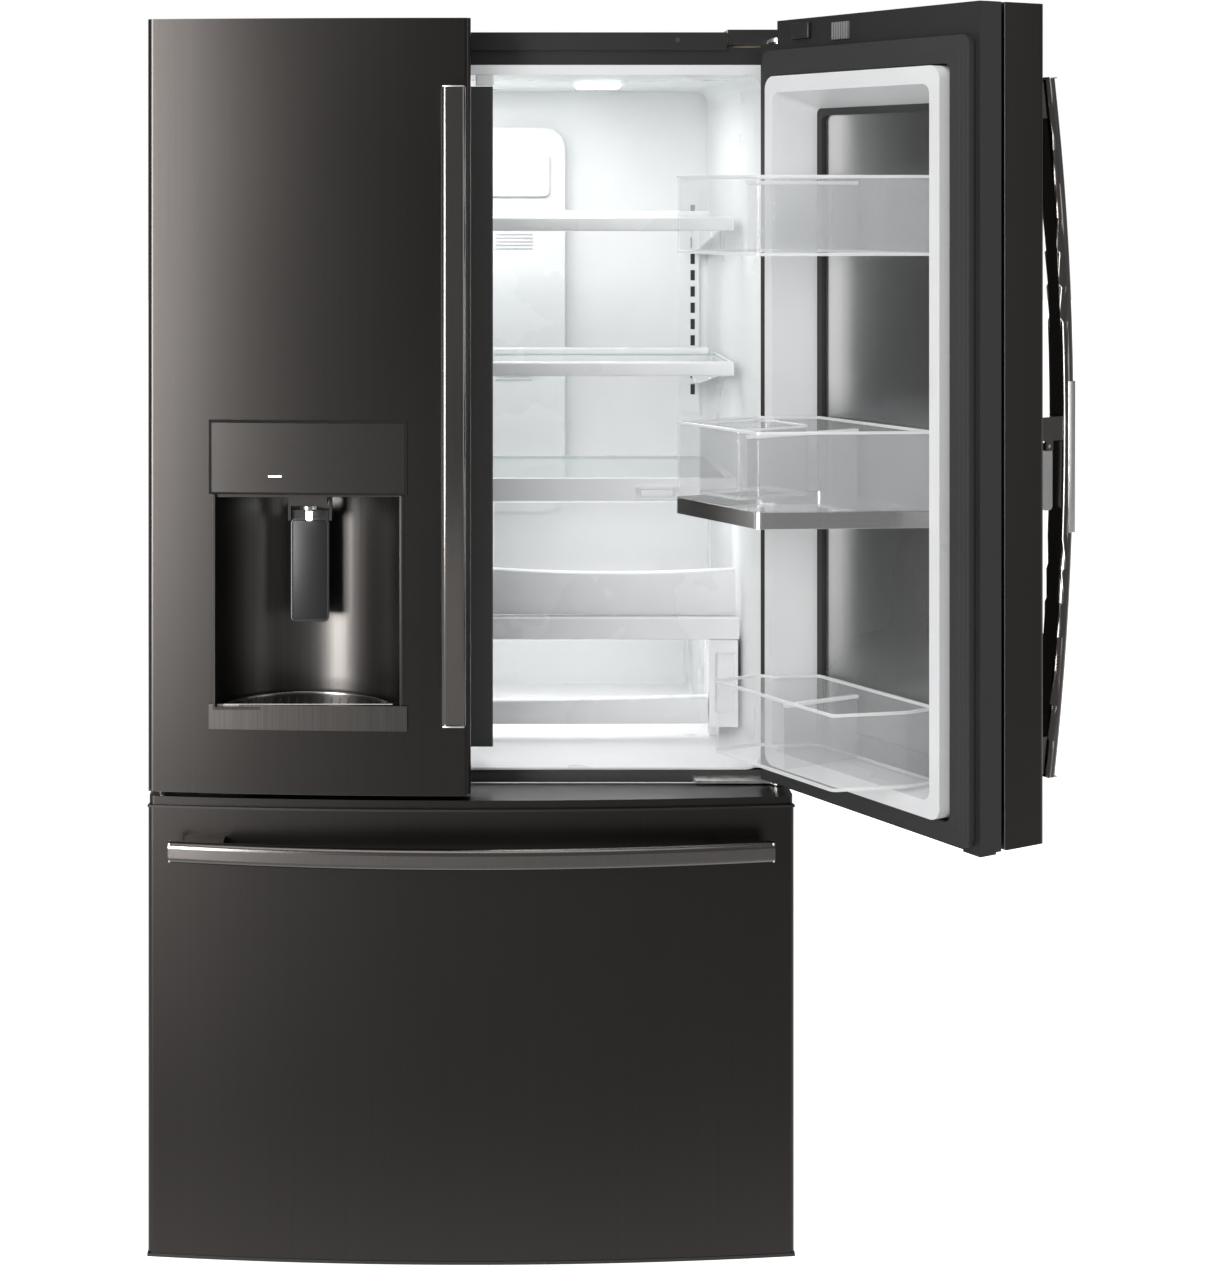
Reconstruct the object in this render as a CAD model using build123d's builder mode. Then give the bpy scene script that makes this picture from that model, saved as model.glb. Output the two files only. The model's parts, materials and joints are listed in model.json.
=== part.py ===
"""A french door refrigerator with a door in its right door and a freezer drawer below.

Millimetres, +Z up. X = 0 is the middle of the cabinet, Y = 0 the middle of its depth and
Z = 0 the floor. The front looks along -Y. The left door is shut and the right door stands open.
"""

import os
from math import sqrt

from build123d import *

os.makedirs("parts", exist_ok=True)

# Overall sizes
width = 908
cabinet_depth = 650
case_bottom = 45
case_top = 1750
sheet = 1.5
liner_wall = 3
touch = 0.2
running = 0.08
moving = 0.4

# Food compartments, measured inside
fridge_half = width / 2 - 34
fridge_half_back = fridge_half - 12
fridge_floor = 704
fridge_top = case_top - 45
fridge_depth = 575
fridge_corner = 22
freezer_half = width / 2 - 49
freezer_floor = 100
freezer_top = 640
freezer_step = 336
freezer_depth_low = 380
freezer_depth_high = 520

# Doors: their thickness, their outer bow and the hinge pins
door_top = case_top + 28
door_bottom = 695
door_split = 2
door_gap = 5
door_edge_front = 66
door_back = 20
door_bow = 27
door_corner = 9
gasket_depth = 11.3
gasket_squash = 0.7
hinge_inset = 14
pin_radius = 5
pin_length = 30
right_open = 120

# Freezer drawer
drawer_bottom = 43
drawer_top = 674
drawer_cap_height = 13

front = -cabinet_depth / 2
back = cabinet_depth / 2
half = width / 2
axis_x = half - hinge_inset
axis_y = front - door_back - gasket_depth - gasket_squash
bow_radius = (half**2 + door_bow**2) / (2 * door_bow)
left_edge = door_split - door_gap / 2
right_edge = door_split + door_gap / 2

right_axis = Axis((axis_x, axis_y, 0), (0, 0, 1))
open_right = Pos(axis_x, axis_y, 0) * Rot(0, 0, right_open) * Pos(-axis_x, -axis_y, 0)


def out(v):
    """Y of a plane that lies v in front of the hinge pins, with the doors shut."""
    return axis_y - v


def span(u0, u1):
    """X range of a right door piece from its distances to the hinge pin."""
    return (axis_x - u1, axis_x - u0)


def face_y(x, inset=0.0):
    """Y of the bowed front face at x, or of a face that lies inset behind it."""
    bow = sqrt(bow_radius**2 - x**2) - (bow_radius - door_bow)
    return out(door_edge_front + bow) + inset


def block(x, y, z, mode=Mode.ADD):
    """A box between two values on each axis."""
    middle = ((x[0] + x[1]) / 2, (y[0] + y[1]) / 2, (z[0] + z[1]) / 2)
    with Locations(middle):
        Box(x[1] - x[0], y[1] - y[0], z[1] - z[0], mode=mode)


def post(x, y, z, radius, mode=Mode.ADD):
    """An upright cylinder between two heights."""
    with Locations((x, y, (z[0] + z[1]) / 2)):
        Cylinder(radius, z[1] - z[0], mode=mode)


def rounded_slab(x, y, z, radius, mode=Mode.ADD):
    """A slab across Y whose outline in the XZ plane has rounded corners."""
    with BuildSketch(Plane.XZ.offset(-y[0])) as outline:
        with Locations(((x[0] + x[1]) / 2, (z[0] + z[1]) / 2)):
            RectangleRounded(x[1] - x[0], z[1] - z[0], radius)
    extrude(outline.sketch, amount=-(y[1] - y[0]), mode=mode)


def bowed_slab(x, inset, back_y, z, mode=Mode.ADD, corner=0.0):
    """A slab from the bowed front face, or inset behind it, to the plane back_y."""
    middle = (x[0] + x[1]) / 2
    with BuildSketch(Plane.XY.offset(z[0])) as outline:
        with BuildLine():
            ends = [(side, face_y(side, inset)) for side in x]
            ThreePointArc(ends[0], (middle, face_y(middle, inset)), ends[1])
            Polyline(ends[1], (x[1], back_y), (x[0], back_y), ends[0])
        make_face()
        if corner:
            fillet([v for v in outline.vertices() if v.Y < back_y - 1], corner)
    extrude(outline.sketch, amount=z[1] - z[0], mode=mode)


def door_skin(x, back_y, z):
    """A bowed sheet metal front, open at the back, with rounded upright corners."""
    bowed_slab(x, 0, back_y, z, corner=door_corner)
    inside = (x[0] + sheet, x[1] - sheet)
    inside_z = (z[0] + sheet, z[1] - sheet)
    bowed_slab(inside, sheet, back_y + 1, inside_z, Mode.SUBTRACT, door_corner - sheet)


def bowed_plate(x, inset, z, mode=Mode.ADD):
    """A plate that follows the bowed face between two depths behind it."""
    middle = (x[0] + x[1]) / 2
    with BuildSketch(Plane.XY.offset(z[0])) as outline:
        with BuildLine():
            near = [(side, face_y(side, inset[0])) for side in x]
            far = [(side, face_y(side, inset[1])) for side in x]
            ThreePointArc(near[0], (middle, face_y(middle, inset[0])), near[1])
            Line(near[1], far[1])
            ThreePointArc(far[1], (middle, face_y(middle, inset[1])), far[0])
            Line(far[0], near[0])
        make_face()
    extrude(outline.sketch, amount=z[1] - z[0], mode=mode)


# ---------------------------------------------------------------- cabinet shell and liners
return_flange = 14
mount_radius = 8

with BuildPart() as case_shell:
    block((-half, half), (front, back), (case_bottom, case_top))
    inner_side = half - sheet
    block((-inner_side, inner_side), (front - 1, back + 1), (case_bottom - 1, case_top - sheet), Mode.SUBTRACT)
    for side in (-1, 1):
        flange = sorted((side * (half - return_flange), side * (half - sheet / 2)))
        block(flange, (front, front + sheet), (case_bottom, case_top))
case_shell.part.label = "case_shell"
export_step(case_shell.part, "parts/case_shell.step")

flange_half = half - return_flange - touch
flange_top = fridge_top + 14
freezer_flange_top = 661


def fridge_cavity(grow, y0, mode):
    """The food compartment as a tapered block with rounded corners, grown on every side."""
    middle = (fridge_floor + fridge_top) / 2
    tall = fridge_top - fridge_floor + 2 * grow
    with BuildSketch(Plane.XZ.offset(-y0)) as mouth:
        with Locations((0, middle)):
            RectangleRounded(2 * (fridge_half + grow), tall, fridge_corner + grow)
    with BuildSketch(Plane.XZ.offset(-(front + fridge_depth + grow))) as rear:
        with Locations((0, middle)):
            RectangleRounded(2 * (fridge_half_back + grow), tall, fridge_corner + grow)
    loft([mouth.sketch, rear.sketch], mode=mode)


def freezer_cavity(grow, y0, mode):
    """The freezer compartment, shallow below where the machinery stands behind it."""
    low = front + freezer_depth_low + grow
    high = front + freezer_depth_high + grow
    floor = freezer_floor - grow
    top = freezer_top + grow
    step = freezer_step - grow
    with BuildSketch(Plane.YZ) as profile:
        with BuildLine():
            Polyline((y0, floor), (low, floor), (low, step), (high, step), (high, top), (y0, top), close=True)
        make_face()
    extrude(profile.sketch, amount=freezer_half + grow, both=True, mode=mode)


with BuildPart() as fridge_liner:
    fridge_cavity(liner_wall, front, Mode.ADD)
    block((-flange_half, flange_half), (front, front + liner_wall), (fridge_floor, flange_top))
    fridge_cavity(0, front - touch, Mode.SUBTRACT)
fridge_liner.part.label = "fridge_liner"
export_step(fridge_liner.part, "parts/fridge_liner.step")

with BuildPart() as freezer_liner:
    freezer_cavity(liner_wall, front, Mode.ADD)
    freezer_flange = (freezer_floor - 20, freezer_flange_top)
    block((-flange_half, flange_half), (front, front + liner_wall), freezer_flange)
    freezer_cavity(0, front - touch, Mode.SUBTRACT)
freezer_liner.part.label = "freezer_liner"
export_step(freezer_liner.part, "parts/freezer_liner.step")

machine_front = front + freezer_depth_low + liner_wall + 30
machine_top = 305
panel_sheet = 1
foam_front = front + 24

with BuildPart() as foam_insulation:
    foam_back = back - panel_sheet - touch
    foam_floor = case_bottom + 20
    foam_top = case_top - sheet - touch
    with BuildSketch(Plane.YZ):
        with BuildLine():
            Polyline(
                (foam_front, foam_floor),
                (machine_front, foam_floor),
                (machine_front, machine_top),
                (foam_back, machine_top),
                (foam_back, foam_top),
                (foam_front, foam_top),
                close=True,
            )
        make_face()
    extrude(amount=half - sheet - touch, both=True)
    fridge_cavity(liner_wall + touch, front - touch, Mode.SUBTRACT)
    freezer_cavity(liner_wall + touch, front - touch, Mode.SUBTRACT)
foam_insulation.part.label = "foam_insulation"
export_step(foam_insulation.part, "parts/foam_insulation.step")

with BuildPart() as rear_panel:
    block((-inner_side + touch, inner_side - touch), (back - panel_sheet, back), (machine_top, case_top - sheet - touch))
    block((-inner_side + touch, inner_side - touch), (back - panel_sheet, back), (case_bottom + 4, machine_top - touch))
    with Locations((0, back, case_bottom + 150)):
        with GridLocations(28, 0, 20, 1):
            Box(16, 3 * panel_sheet, 90, mode=Mode.SUBTRACT)
rear_panel.part.label = "rear_panel"
export_step(rear_panel.part, "parts/rear_panel.step")

# ---------------------------------------------------------------- front trim and rails
rail_half = flange_half
rail_bottom = freezer_flange_top + touch
rail_top = fridge_floor - liner_wall - touch
rail_depth = foam_front - front - touch
with BuildPart() as center_rail:
    block((-rail_half, rail_half), (front, front + rail_depth), (rail_bottom, rail_top))
    fillet(center_rail.edges().filter_by(Axis.X).group_by(Axis.Y)[0], 2)
center_rail.part.label = "center_rail"
export_step(center_rail.part, "parts/center_rail.step")

trim_step = case_top - 6
trim_top = case_top + 16
cover_inner = half - 82
cover_top = case_top + 20
cover_wall = 2
hinge_plate = 5
arm_half = 10
cover_depth = 110
with BuildPart() as top_trim:
    block((-flange_half, flange_half), (front, front + liner_wall), (flange_top + touch, trim_step))
    trim_half = cover_inner - 1
    block((-trim_half, trim_half), (front - 4, front - touch), (trim_step - 4, trim_top))
    block((-trim_half, trim_half), (front - 1, front + 14), (case_top + touch, trim_top))
    block((-trim_half, trim_half), (front - 1, front + liner_wall), (trim_step - 4, case_top - sheet - touch))
    for side in (-1, 1):
        cover = sorted((side * cover_inner, side * (half - sheet)))
        inside = sorted((side * (cover_inner + cover_wall), side * (half - sheet - cover_wall)))
        block(cover, (front - 2, front + cover_depth), (case_top + touch, cover_top))
        below = (case_top - 1, cover_top - cover_wall)
        block(inside, (front, front + cover_depth - cover_wall), below, Mode.SUBTRACT)
        slot = sorted((side * (axis_x - arm_half - 1), side * (axis_x + arm_half + 1)))
        slot_z = (case_top - 1, case_top + hinge_plate + 1)
        block(slot, (front - 3, front + 1), slot_z, Mode.SUBTRACT)
top_trim.part.label = "top_trim"
export_step(top_trim.part, "parts/top_trim.step")

# ---------------------------------------------------------------- door hinges
leaf_top = door_bottom - 2
leaf_thick = 4
leaf_inner = half - 132
notch_floor = case_top - 4
hinge_screw = 3.5

with BuildPart() as door_hinges:
    for side in (-1, 1):
        z = (case_top + touch, case_top + hinge_plate)
        plate = sorted((side * (cover_inner + 8), side * (axis_x + 4)))
        block(plate, (front + 4, front + 90), z)
        arm = sorted((side * (axis_x - arm_half), side * (axis_x + arm_half)))
        block(arm, (axis_y, front + 20), z)
        post(side * axis_x, axis_y, z, arm_half)
        post(side * axis_x, axis_y, (notch_floor - pin_length, z[1]), pin_radius)
        with Locations(*[(side * (cover_inner + 24), front + y, z[1] + 1.5) for y in (25, 68)]):
            Cylinder(6, 3)
        leaf = sorted((side * leaf_inner, side * (axis_x + arm_half)))
        plate = sorted((side * leaf_inner, side * (leaf_inner + 59)))
        block(plate, (front - leaf_thick, front - touch), (665, leaf_top))
        block(leaf, (axis_y, front - touch), (leaf_top - leaf_thick, leaf_top))
        post(side * axis_x, axis_y, (leaf_top - leaf_thick, leaf_top), arm_half)
        post(side * axis_x, axis_y, (leaf_top - leaf_thick, door_bottom + pin_length), pin_radius)
        with Locations(*[(side * x, front - leaf_thick - 1, 674) for x in (leaf_inner + 9, leaf_inner + 50)]):
            Cylinder(5, 3, rotation=(90, 0, 0))
door_hinges.part.label = "door_hinges"
export_step(door_hinges.part, "parts/door_hinges.step")

guide_x = (8, 34)
with BuildPart() as mullion_guide:
    block(guide_x, (front + 0.5, front + 30), (fridge_top - 15, fridge_top - touch))
    fillet(mullion_guide.edges().filter_by(Axis.Z).group_by(Axis.Y)[0], 2)
mullion_guide.part.label = "mullion_guide"
export_step(mullion_guide.part, "parts/mullion_guide.step")

# ---------------------------------------------------------------- inside the food compartment
inner_back = front + fridge_depth
duct_half = 166
duct_thick = 26
duct = (1000, 1643)
with BuildPart() as air_duct:
    duct_y = (inner_back - duct_thick, inner_back - touch)
    rounded_slab((-duct_half, duct_half), duct_y, duct, 36)
air_duct.part.label = "air_duct"
export_step(air_duct.part, "parts/air_duct.step")

filter_x = (-10, 140)
filter_z = (1528, 1598)
filter_thick = 7
with BuildPart() as filter_cover:
    filter_y = (inner_back - duct_thick - moving - filter_thick, inner_back - duct_thick - moving)
    rounded_slab(filter_x, filter_y, filter_z, 9)
    top_front = filter_cover.edges().group_by(Axis.Y)[0]
    fillet(top_front, 2)
    filter_pin = (filter_z[0] - 3, filter_z[1] + 3)
    post(filter_x[0], sum(filter_y) / 2, filter_pin, 2)
filter_cover.part.label = "filter_cover"
export_step(filter_cover.part, "parts/filter_cover.step")

lens_x = 206
lens_y = front + 317
with BuildPart() as light_lenses:
    for side in (-1, 1):
        block((side * lens_x - 34, side * lens_x + 34), (lens_y - 22, lens_y + 22), (fridge_top - 6, fridge_top - touch))
    fillet(light_lenses.edges().group_by(Axis.Z)[0], 3)
light_lenses.part.label = "light_lenses"
export_step(light_lenses.part, "parts/light_lenses.step")

track_x = fridge_half - 43
track_half = 17
track = (1164, 1544)
track_thick = 4
slot_pitch = 27.5
slot_count = 12
with BuildPart() as shelf_tracks:
    track_y = (inner_back - track_thick, inner_back - touch)
    for side in (-1, 1):
        block((side * track_x - track_half, side * track_x + track_half), track_y, track)
        middle = (side * (track_x + 6), inner_back - track_thick / 2, (track[0] + track[1]) / 2)
        with BuildSketch(Plane.XZ.offset(-track_y[0])):
            with Locations((middle[0], middle[2])):
                with GridLocations(0, slot_pitch, 1, slot_count):
                    Rectangle(8, 18)
        extrude(amount=-2, mode=Mode.SUBTRACT)
shelf_tracks.part.label = "shelf_tracks"
export_step(shelf_tracks.part, "parts/shelf_tracks.step")

shelf_front = front + 180
shelf_back = front + 412
shelf_half = fridge_half - 16
shelf_tops = (1276, 1497)
shelf_trim = 20
glass = 4
glass_lip = 12
bracket_x = track_x + 6
bracket_thick = 3
with BuildPart() as shelf_frames:
    for top in shelf_tops:
        block((-shelf_half, shelf_half), (shelf_front, shelf_back), (top - shelf_trim, top))
        inner = shelf_half - glass_lip
        opening = (shelf_front + 16, shelf_back - glass_lip)
        block((-inner, inner), opening, (top - shelf_trim - 1, top + 1), Mode.SUBTRACT)
        rear = (shelf_front + 17, shelf_back + 1)
        block((-shelf_half - 1, shelf_half + 1), rear, (top - shelf_trim - 1, top - 13), Mode.SUBTRACT)
        seat = (shelf_front + 10, shelf_back - 5)
        block((-inner - 7, inner + 7), seat, (top - glass - touch, top + 1), Mode.SUBTRACT)
    for side in (-1, 1):
        for top in shelf_tops:
            x0 = side * bracket_x - bracket_thick / 2
            with BuildSketch(Plane.YZ.offset(x0)):
                with BuildLine():
                    under = top - 13 - touch
                    Polyline(
                        (shelf_front + 30, under),
                        (inner_back - track_thick - touch, under),
                        (inner_back - track_thick - touch, under - 48),
                        (shelf_back + 40, under - 40),
                        (shelf_front + 30, under - 9),
                        close=True,
                    )
                make_face()
            extrude(amount=bracket_thick)
shelf_frames.part.label = "shelf_frames"
export_step(shelf_frames.part, "parts/shelf_frames.step")

cover_front = front + 183
cover_back = front + 498
cover_half = fridge_half_back
cover_z = (1065, 1099)
with BuildPart() as glass_panes:
    for top in shelf_tops:
        pane = shelf_half - glass_lip + 7 - touch
        pane_y = (shelf_front + 10 + touch, shelf_back - 5 - touch)
        block((-pane, pane), pane_y, (top - glass, top - touch))
    pane = cover_half - 22 + 7 - touch
    pane_y = (cover_front + 14 + touch, cover_back - 5 - touch)
    block((-pane, pane), pane_y, (cover_z[1] - glass, cover_z[1] - touch))
glass_panes.part.label = "glass_panes"
export_step(glass_panes.part, "parts/glass_panes.step")

crisper_z = (893, 1061)
crisper_x = (38, fridge_half - 15)
crisper_y = (front + 185, front + 480)
crisper_wall = 2.5
bezel_top = 961
slider_x = (262, 311)
slider_z = (1073, 1083)
slider_travel = 30
with BuildPart() as crisper_cover:
    block((-cover_half, cover_half), (cover_front, cover_back), cover_z)
    inner = cover_half - 22
    below = (cover_z[0] - 1, cover_z[1] - 12)
    block((-cover_half - 1, cover_half + 1), (cover_front + 14, cover_back + 1), below, Mode.SUBTRACT)
    block((-inner, inner), (cover_front + 21, cover_back - 12), (cover_z[0], cover_z[1] + 1), Mode.SUBTRACT)
    block((-inner - 7, inner + 7), (cover_front + 14, cover_back - 5), (cover_z[1] - glass - touch, cover_z[1] + 1), Mode.SUBTRACT)
    channel = (slider_x[0] - 6, slider_x[1] + slider_travel + 6)
    block(channel, (cover_front - 1, cover_front + 4), (slider_z[0] - moving, slider_z[1] + moving), Mode.SUBTRACT)
    divider = crisper_x[0] - 6
    block((-divider, divider), (cover_front + 32, cover_back), (crisper_z[0], cover_z[1] - 12))
crisper_cover.part.label = "crisper_cover"
export_step(crisper_cover.part, "parts/crisper_cover.step")

with BuildPart() as humidity_slider:
    block(slider_x, (cover_front - 3, cover_front + 4 - moving), slider_z)
    fillet(humidity_slider.edges().filter_by(Axis.Y), 3)
humidity_slider.part.label = "humidity_slider"
export_step(humidity_slider.part, "parts/humidity_slider.step")


def tray(x, y, z, wall, lip, radius):
    """An open bin with a thick front lip of the stated height and thickness."""
    block(x, y, z)
    fillet(last_edges(Axis.Z, y[1]), radius)
    inner_x = (x[0] + wall, x[1] - wall)
    block(inner_x, (y[0] + lip[1], y[1] - wall), (z[0] + wall, z[1] + 1), Mode.SUBTRACT)
    upper = (z[0] + lip[0], z[1] + 1)
    block((x[0] - 1, x[1] + 1), (y[0] - 1, y[0] + lip[1] - wall), upper, Mode.SUBTRACT)


def last_edges(axis, y):
    """The edges of the current part that run along an axis at the stated Y."""
    part = BuildPart._get_context().part
    return part.edges().filter_by(axis).filter_by_position(Axis.Y, y - 0.01, y + 0.01)


with BuildPart() as right_crisper:
    tray(crisper_x, crisper_y, crisper_z, crisper_wall, (bezel_top - crisper_z[0], 12), 14)
right_crisper.part.label = "right_crisper"
export_step(right_crisper.part, "parts/right_crisper.step")

with BuildPart() as left_crisper:
    mirrored_x = (-crisper_x[1], -crisper_x[0])
    tray(mirrored_x, crisper_y, crisper_z, crisper_wall, (bezel_top - crisper_z[0], 12), 14)
left_crisper.part.label = "left_crisper"
export_step(left_crisper.part, "parts/left_crisper.step")

deli_half = fridge_half - 57
deli_z = (726, 851)
deli_cover_z = (854.5, 889.6)
deli_cover_half = fridge_half - 9
with BuildPart() as full_width_drawer:
    tray((-deli_half, deli_half), crisper_y, deli_z, crisper_wall, (41, 12), 14)
full_width_drawer.part.label = "full_width_drawer"
export_step(full_width_drawer.part, "parts/full_width_drawer.step")

with BuildPart() as drawer_cover:
    cover_y = (front + 176, front + 496)
    block((-deli_cover_half, deli_cover_half), (cover_y[0], cover_y[0] + 14), deli_cover_z)
    plate = (deli_cover_z[1] - 4, deli_cover_z[1])
    block((-deli_cover_half + 4, deli_cover_half - 4), (cover_y[0] + 5, cover_y[1]), plate)
    fillet(drawer_cover.edges().filter_by(Axis.X).group_by(Axis.Y)[0], 4)
drawer_cover.part.label = "drawer_cover"
export_step(drawer_cover.part, "parts/drawer_cover.step")

with BuildPart() as side_fillers:
    for side in (-1, 1):
        filler = sorted((side * (deli_half + 3), side * (fridge_half - 10.5)))
        block(filler, (front + 178, cover_back - 20), (fridge_floor + 18, deli_cover_z[0] - touch))
        recess = sorted((side * (deli_half + 12), side * (fridge_half - 17)))
        block(recess, (front + 177, front + 184), (fridge_floor + 40, deli_cover_z[0] - 20), Mode.SUBTRACT)
        foot = sorted((side * (deli_half + 4), side * (deli_half + 20)))
        block(foot, (front + 200, cover_back - 40), (fridge_floor + touch, fridge_floor + 19))
side_fillers.part.label = "side_fillers"
export_step(side_fillers.part, "parts/side_fillers.step")

# ---------------------------------------------------------------- base and machinery
beam_inner = half - 94
wheel_x = half - 54
with BuildPart() as base_frame:
    for side in (-1, 1):
        beam = sorted((side * beam_inner, side * (half - sheet - touch)))
        block(beam, (front + 10, back - 2), (case_bottom - 15, case_bottom - touch))
        rear_y = back - 60
        well = (side * wheel_x - 12.5, side * wheel_x + 12.5)
        block(well, (rear_y - 27, rear_y + 27), (case_bottom - 16, case_bottom), Mode.SUBTRACT)
        for gap in (-16, 13):
            ear = sorted((side * (wheel_x + gap), side * (wheel_x + 3 + gap)))
            block(ear, (rear_y - 18, rear_y + 18), (10, case_bottom - 10))
        with Locations((side * wheel_x, rear_y, 24)):
            Cylinder(3, 32, rotation=(0, 90, 0))
    beam_half = beam_inner + touch
    block((-beam_half, beam_half), (front + 10, front + 40), (case_bottom - 15, case_bottom - touch))
    block((-beam_half, beam_half), (machine_front, back - 2), (case_bottom - 4, case_bottom - touch))
base_frame.part.label = "base_frame"
export_step(base_frame.part, "parts/base_frame.step")

wheel_radius = 24
for name, side in (("rear_roller_left", -1), ("rear_roller_right", 1)):
    with BuildPart() as roller:
        with Locations((side * wheel_x, back - 60, wheel_radius)):
            Cylinder(wheel_radius - moving, 22, rotation=(0, 90, 0))
            Cylinder(3 + running, 23, rotation=(0, 90, 0), mode=Mode.SUBTRACT)
        fillet(roller.edges().filter_by(GeomType.CIRCLE).sort_by(SortBy.RADIUS)[-2:], 2)
    roller.part.label = name
    export_step(roller.part, f"parts/{name}.step")

with BuildPart() as leveling_legs:
    for side in (-1, 1):
        leg_x = side * (half - 62)
        post(leg_x, front + 60, (0, 8), 20)
        post(leg_x, front + 60, (8, 16), 11)
        post(leg_x, front + 60, (16, case_bottom - 15 - touch), 6)
leveling_legs.part.label = "leveling_legs"
export_step(leveling_legs.part, "parts/leveling_legs.step")

grille_half = half - 19
with BuildPart() as base_grille:
    grille_y = (front - 6, front - 2)
    block((-grille_half, grille_half), grille_y, (8, 40))
    with BuildSketch(Plane.XZ.offset(-grille_y[0])):
        with Locations((0, 24)):
            with GridLocations(36, 9, 22, 3):
                SlotOverall(28, 4)
    extrude(amount=-5, mode=Mode.SUBTRACT)
    for side in (-1, 1):
        block((side * 340 - 8, side * 340 + 8), (grille_y[1], front + 10 - touch), (30, 38))
base_grille.part.label = "base_grille"
export_step(base_grille.part, "parts/base_grille.step")

compressor_at = (230, front + 530)
with BuildPart() as compressor:
    post(*compressor_at, (70, 190), 72)
    fillet(compressor.edges().filter_by(GeomType.CIRCLE).group_by(Axis.Z)[-1], 40)
    fillet(compressor.edges().filter_by(GeomType.CIRCLE).group_by(Axis.Z)[0], 20)
    block((compressor_at[0] - 90, compressor_at[0] + 90), (compressor_at[1] - 50, compressor_at[1] + 50), (64, 72))
    with Locations(*[(compressor_at[0] + x, compressor_at[1] + y, 54.5) for x in (-78, 78) for y in (-38, 38)]):
        Cylinder(9, 19)
    block((compressor_at[0] + 60, compressor_at[0] + 88), (compressor_at[1] - 22, compressor_at[1] + 22), (95, 150))
compressor.part.label = "compressor"
export_step(compressor.part, "parts/compressor.step")

fan_at = (-10, machine_front + 83, case_bottom + 110)
with BuildPart() as condenser:
    block((-360, -90), (machine_front + 16, machine_front + 150), (case_bottom + 2, case_bottom + 12))
    block((-356, -94), (machine_front + 20, machine_front + 146), (case_bottom + 12, case_bottom + 18))
    for row in range(12):
        x0 = -350 + 22 * row
        block((x0, x0 + 2), (machine_front + 22, machine_front + 144), (case_bottom + 17, case_bottom + 165))
    with BuildSketch(Plane.YZ.offset(-354)):
        with Locations((machine_front + 83, case_bottom + 95)):
            with GridLocations(40, 36, 3, 4):
                Circle(4)
    extrude(amount=258)
    bracket_x = fan_at[0] + 44
    block((bracket_x, bracket_x + 4), (fan_at[1] - 34, fan_at[1] + 34), (case_bottom + touch, fan_at[2] + 34))
    with Locations((bracket_x + 18, fan_at[1], fan_at[2])):
        Cylinder(26, 32, rotation=(0, 90, 0))
    with Locations(((bracket_x + fan_at[0] - 2) / 2, fan_at[1], fan_at[2])):
        Cylinder(3, bracket_x - fan_at[0] + 6, rotation=(0, 90, 0))
condenser.part.label = "condenser"
export_step(condenser.part, "parts/condenser.step")

blade_count = 5


def fan(hub_radius, tip_radius, depth, plane):
    """A hub with flat blades around the plane's normal."""
    with BuildSketch(plane) as hub:
        Circle(hub_radius)
    extrude(hub.sketch, amount=depth)
    with BuildSketch(plane.offset(depth * 0.35)) as blades:
        with PolarLocations((hub_radius + tip_radius) / 2 - 2, blade_count):
            RectangleRounded(tip_radius - hub_radius + 4, hub_radius * 1.25, 5)
    extrude(blades.sketch, amount=depth * 0.3)


with BuildPart() as condenser_fan:
    fan(20, 66, 26, Plane(fan_at, x_dir=(0, 1, 0), z_dir=(1, 0, 0)))
    with Locations((fan_at[0] + 12, fan_at[1], fan_at[2])):
        Cylinder(3 + running, 40, rotation=(0, 90, 0), mode=Mode.SUBTRACT)
condenser_fan.part.label = "condenser_fan"
export_step(condenser_fan.part, "parts/condenser_fan.step")

evap_front = front + 446
with BuildPart() as evaporator:
    cover = (freezer_step + touch, freezer_top - touch)
    block((-freezer_half + touch, freezer_half - touch), (evap_front, evap_front + 3), cover)
    with BuildSketch(Plane.XZ.offset(-evap_front)):
        with Locations((0, 560)):
            Circle(62)
    extrude(amount=-4, mode=Mode.SUBTRACT)
    with BuildSketch(Plane.XZ.offset(-evap_front)):
        with Locations((0, 560)):
            Circle(12)
            Rectangle(6, 126)
            Rectangle(126, 6)
    extrude(amount=-3)
    with Locations((0, evap_front + 14, 560)):
        Cylinder(3, 26, rotation=(90, 0, 0))
    for row in range(20):
        x0 = -300 + 31 * row
        block((x0, x0 + 2), (evap_front + 12, evap_front + 68), (freezer_step + 8, freezer_step + 130))
    with BuildSketch(Plane.YZ.offset(-310)):
        with Locations((evap_front + 40, freezer_step + 69)):
            with GridLocations(30, 34, 2, 3):
                Circle(4)
    extrude(amount=620)
    for side in (-1, 1):
        block((side * 310 - 3, side * 310 + 3), (evap_front + 2.9, evap_front + 62), (freezer_step + 20, freezer_step + 120))
evaporator.part.label = "evaporator"
export_step(evaporator.part, "parts/evaporator.step")

with BuildPart() as evaporator_fan:
    fan(16, 55, 14, Plane((0, evap_front + 22, 560), x_dir=(1, 0, 0), z_dir=(0, -1, 0)))
    with Locations((0, evap_front + 15, 560)):
        Cylinder(3 + running, 40, rotation=(90, 0, 0), mode=Mode.SUBTRACT)
evaporator_fan.part.label = "evaporator_fan"
export_step(evaporator_fan.part, "parts/evaporator_fan.step")

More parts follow.
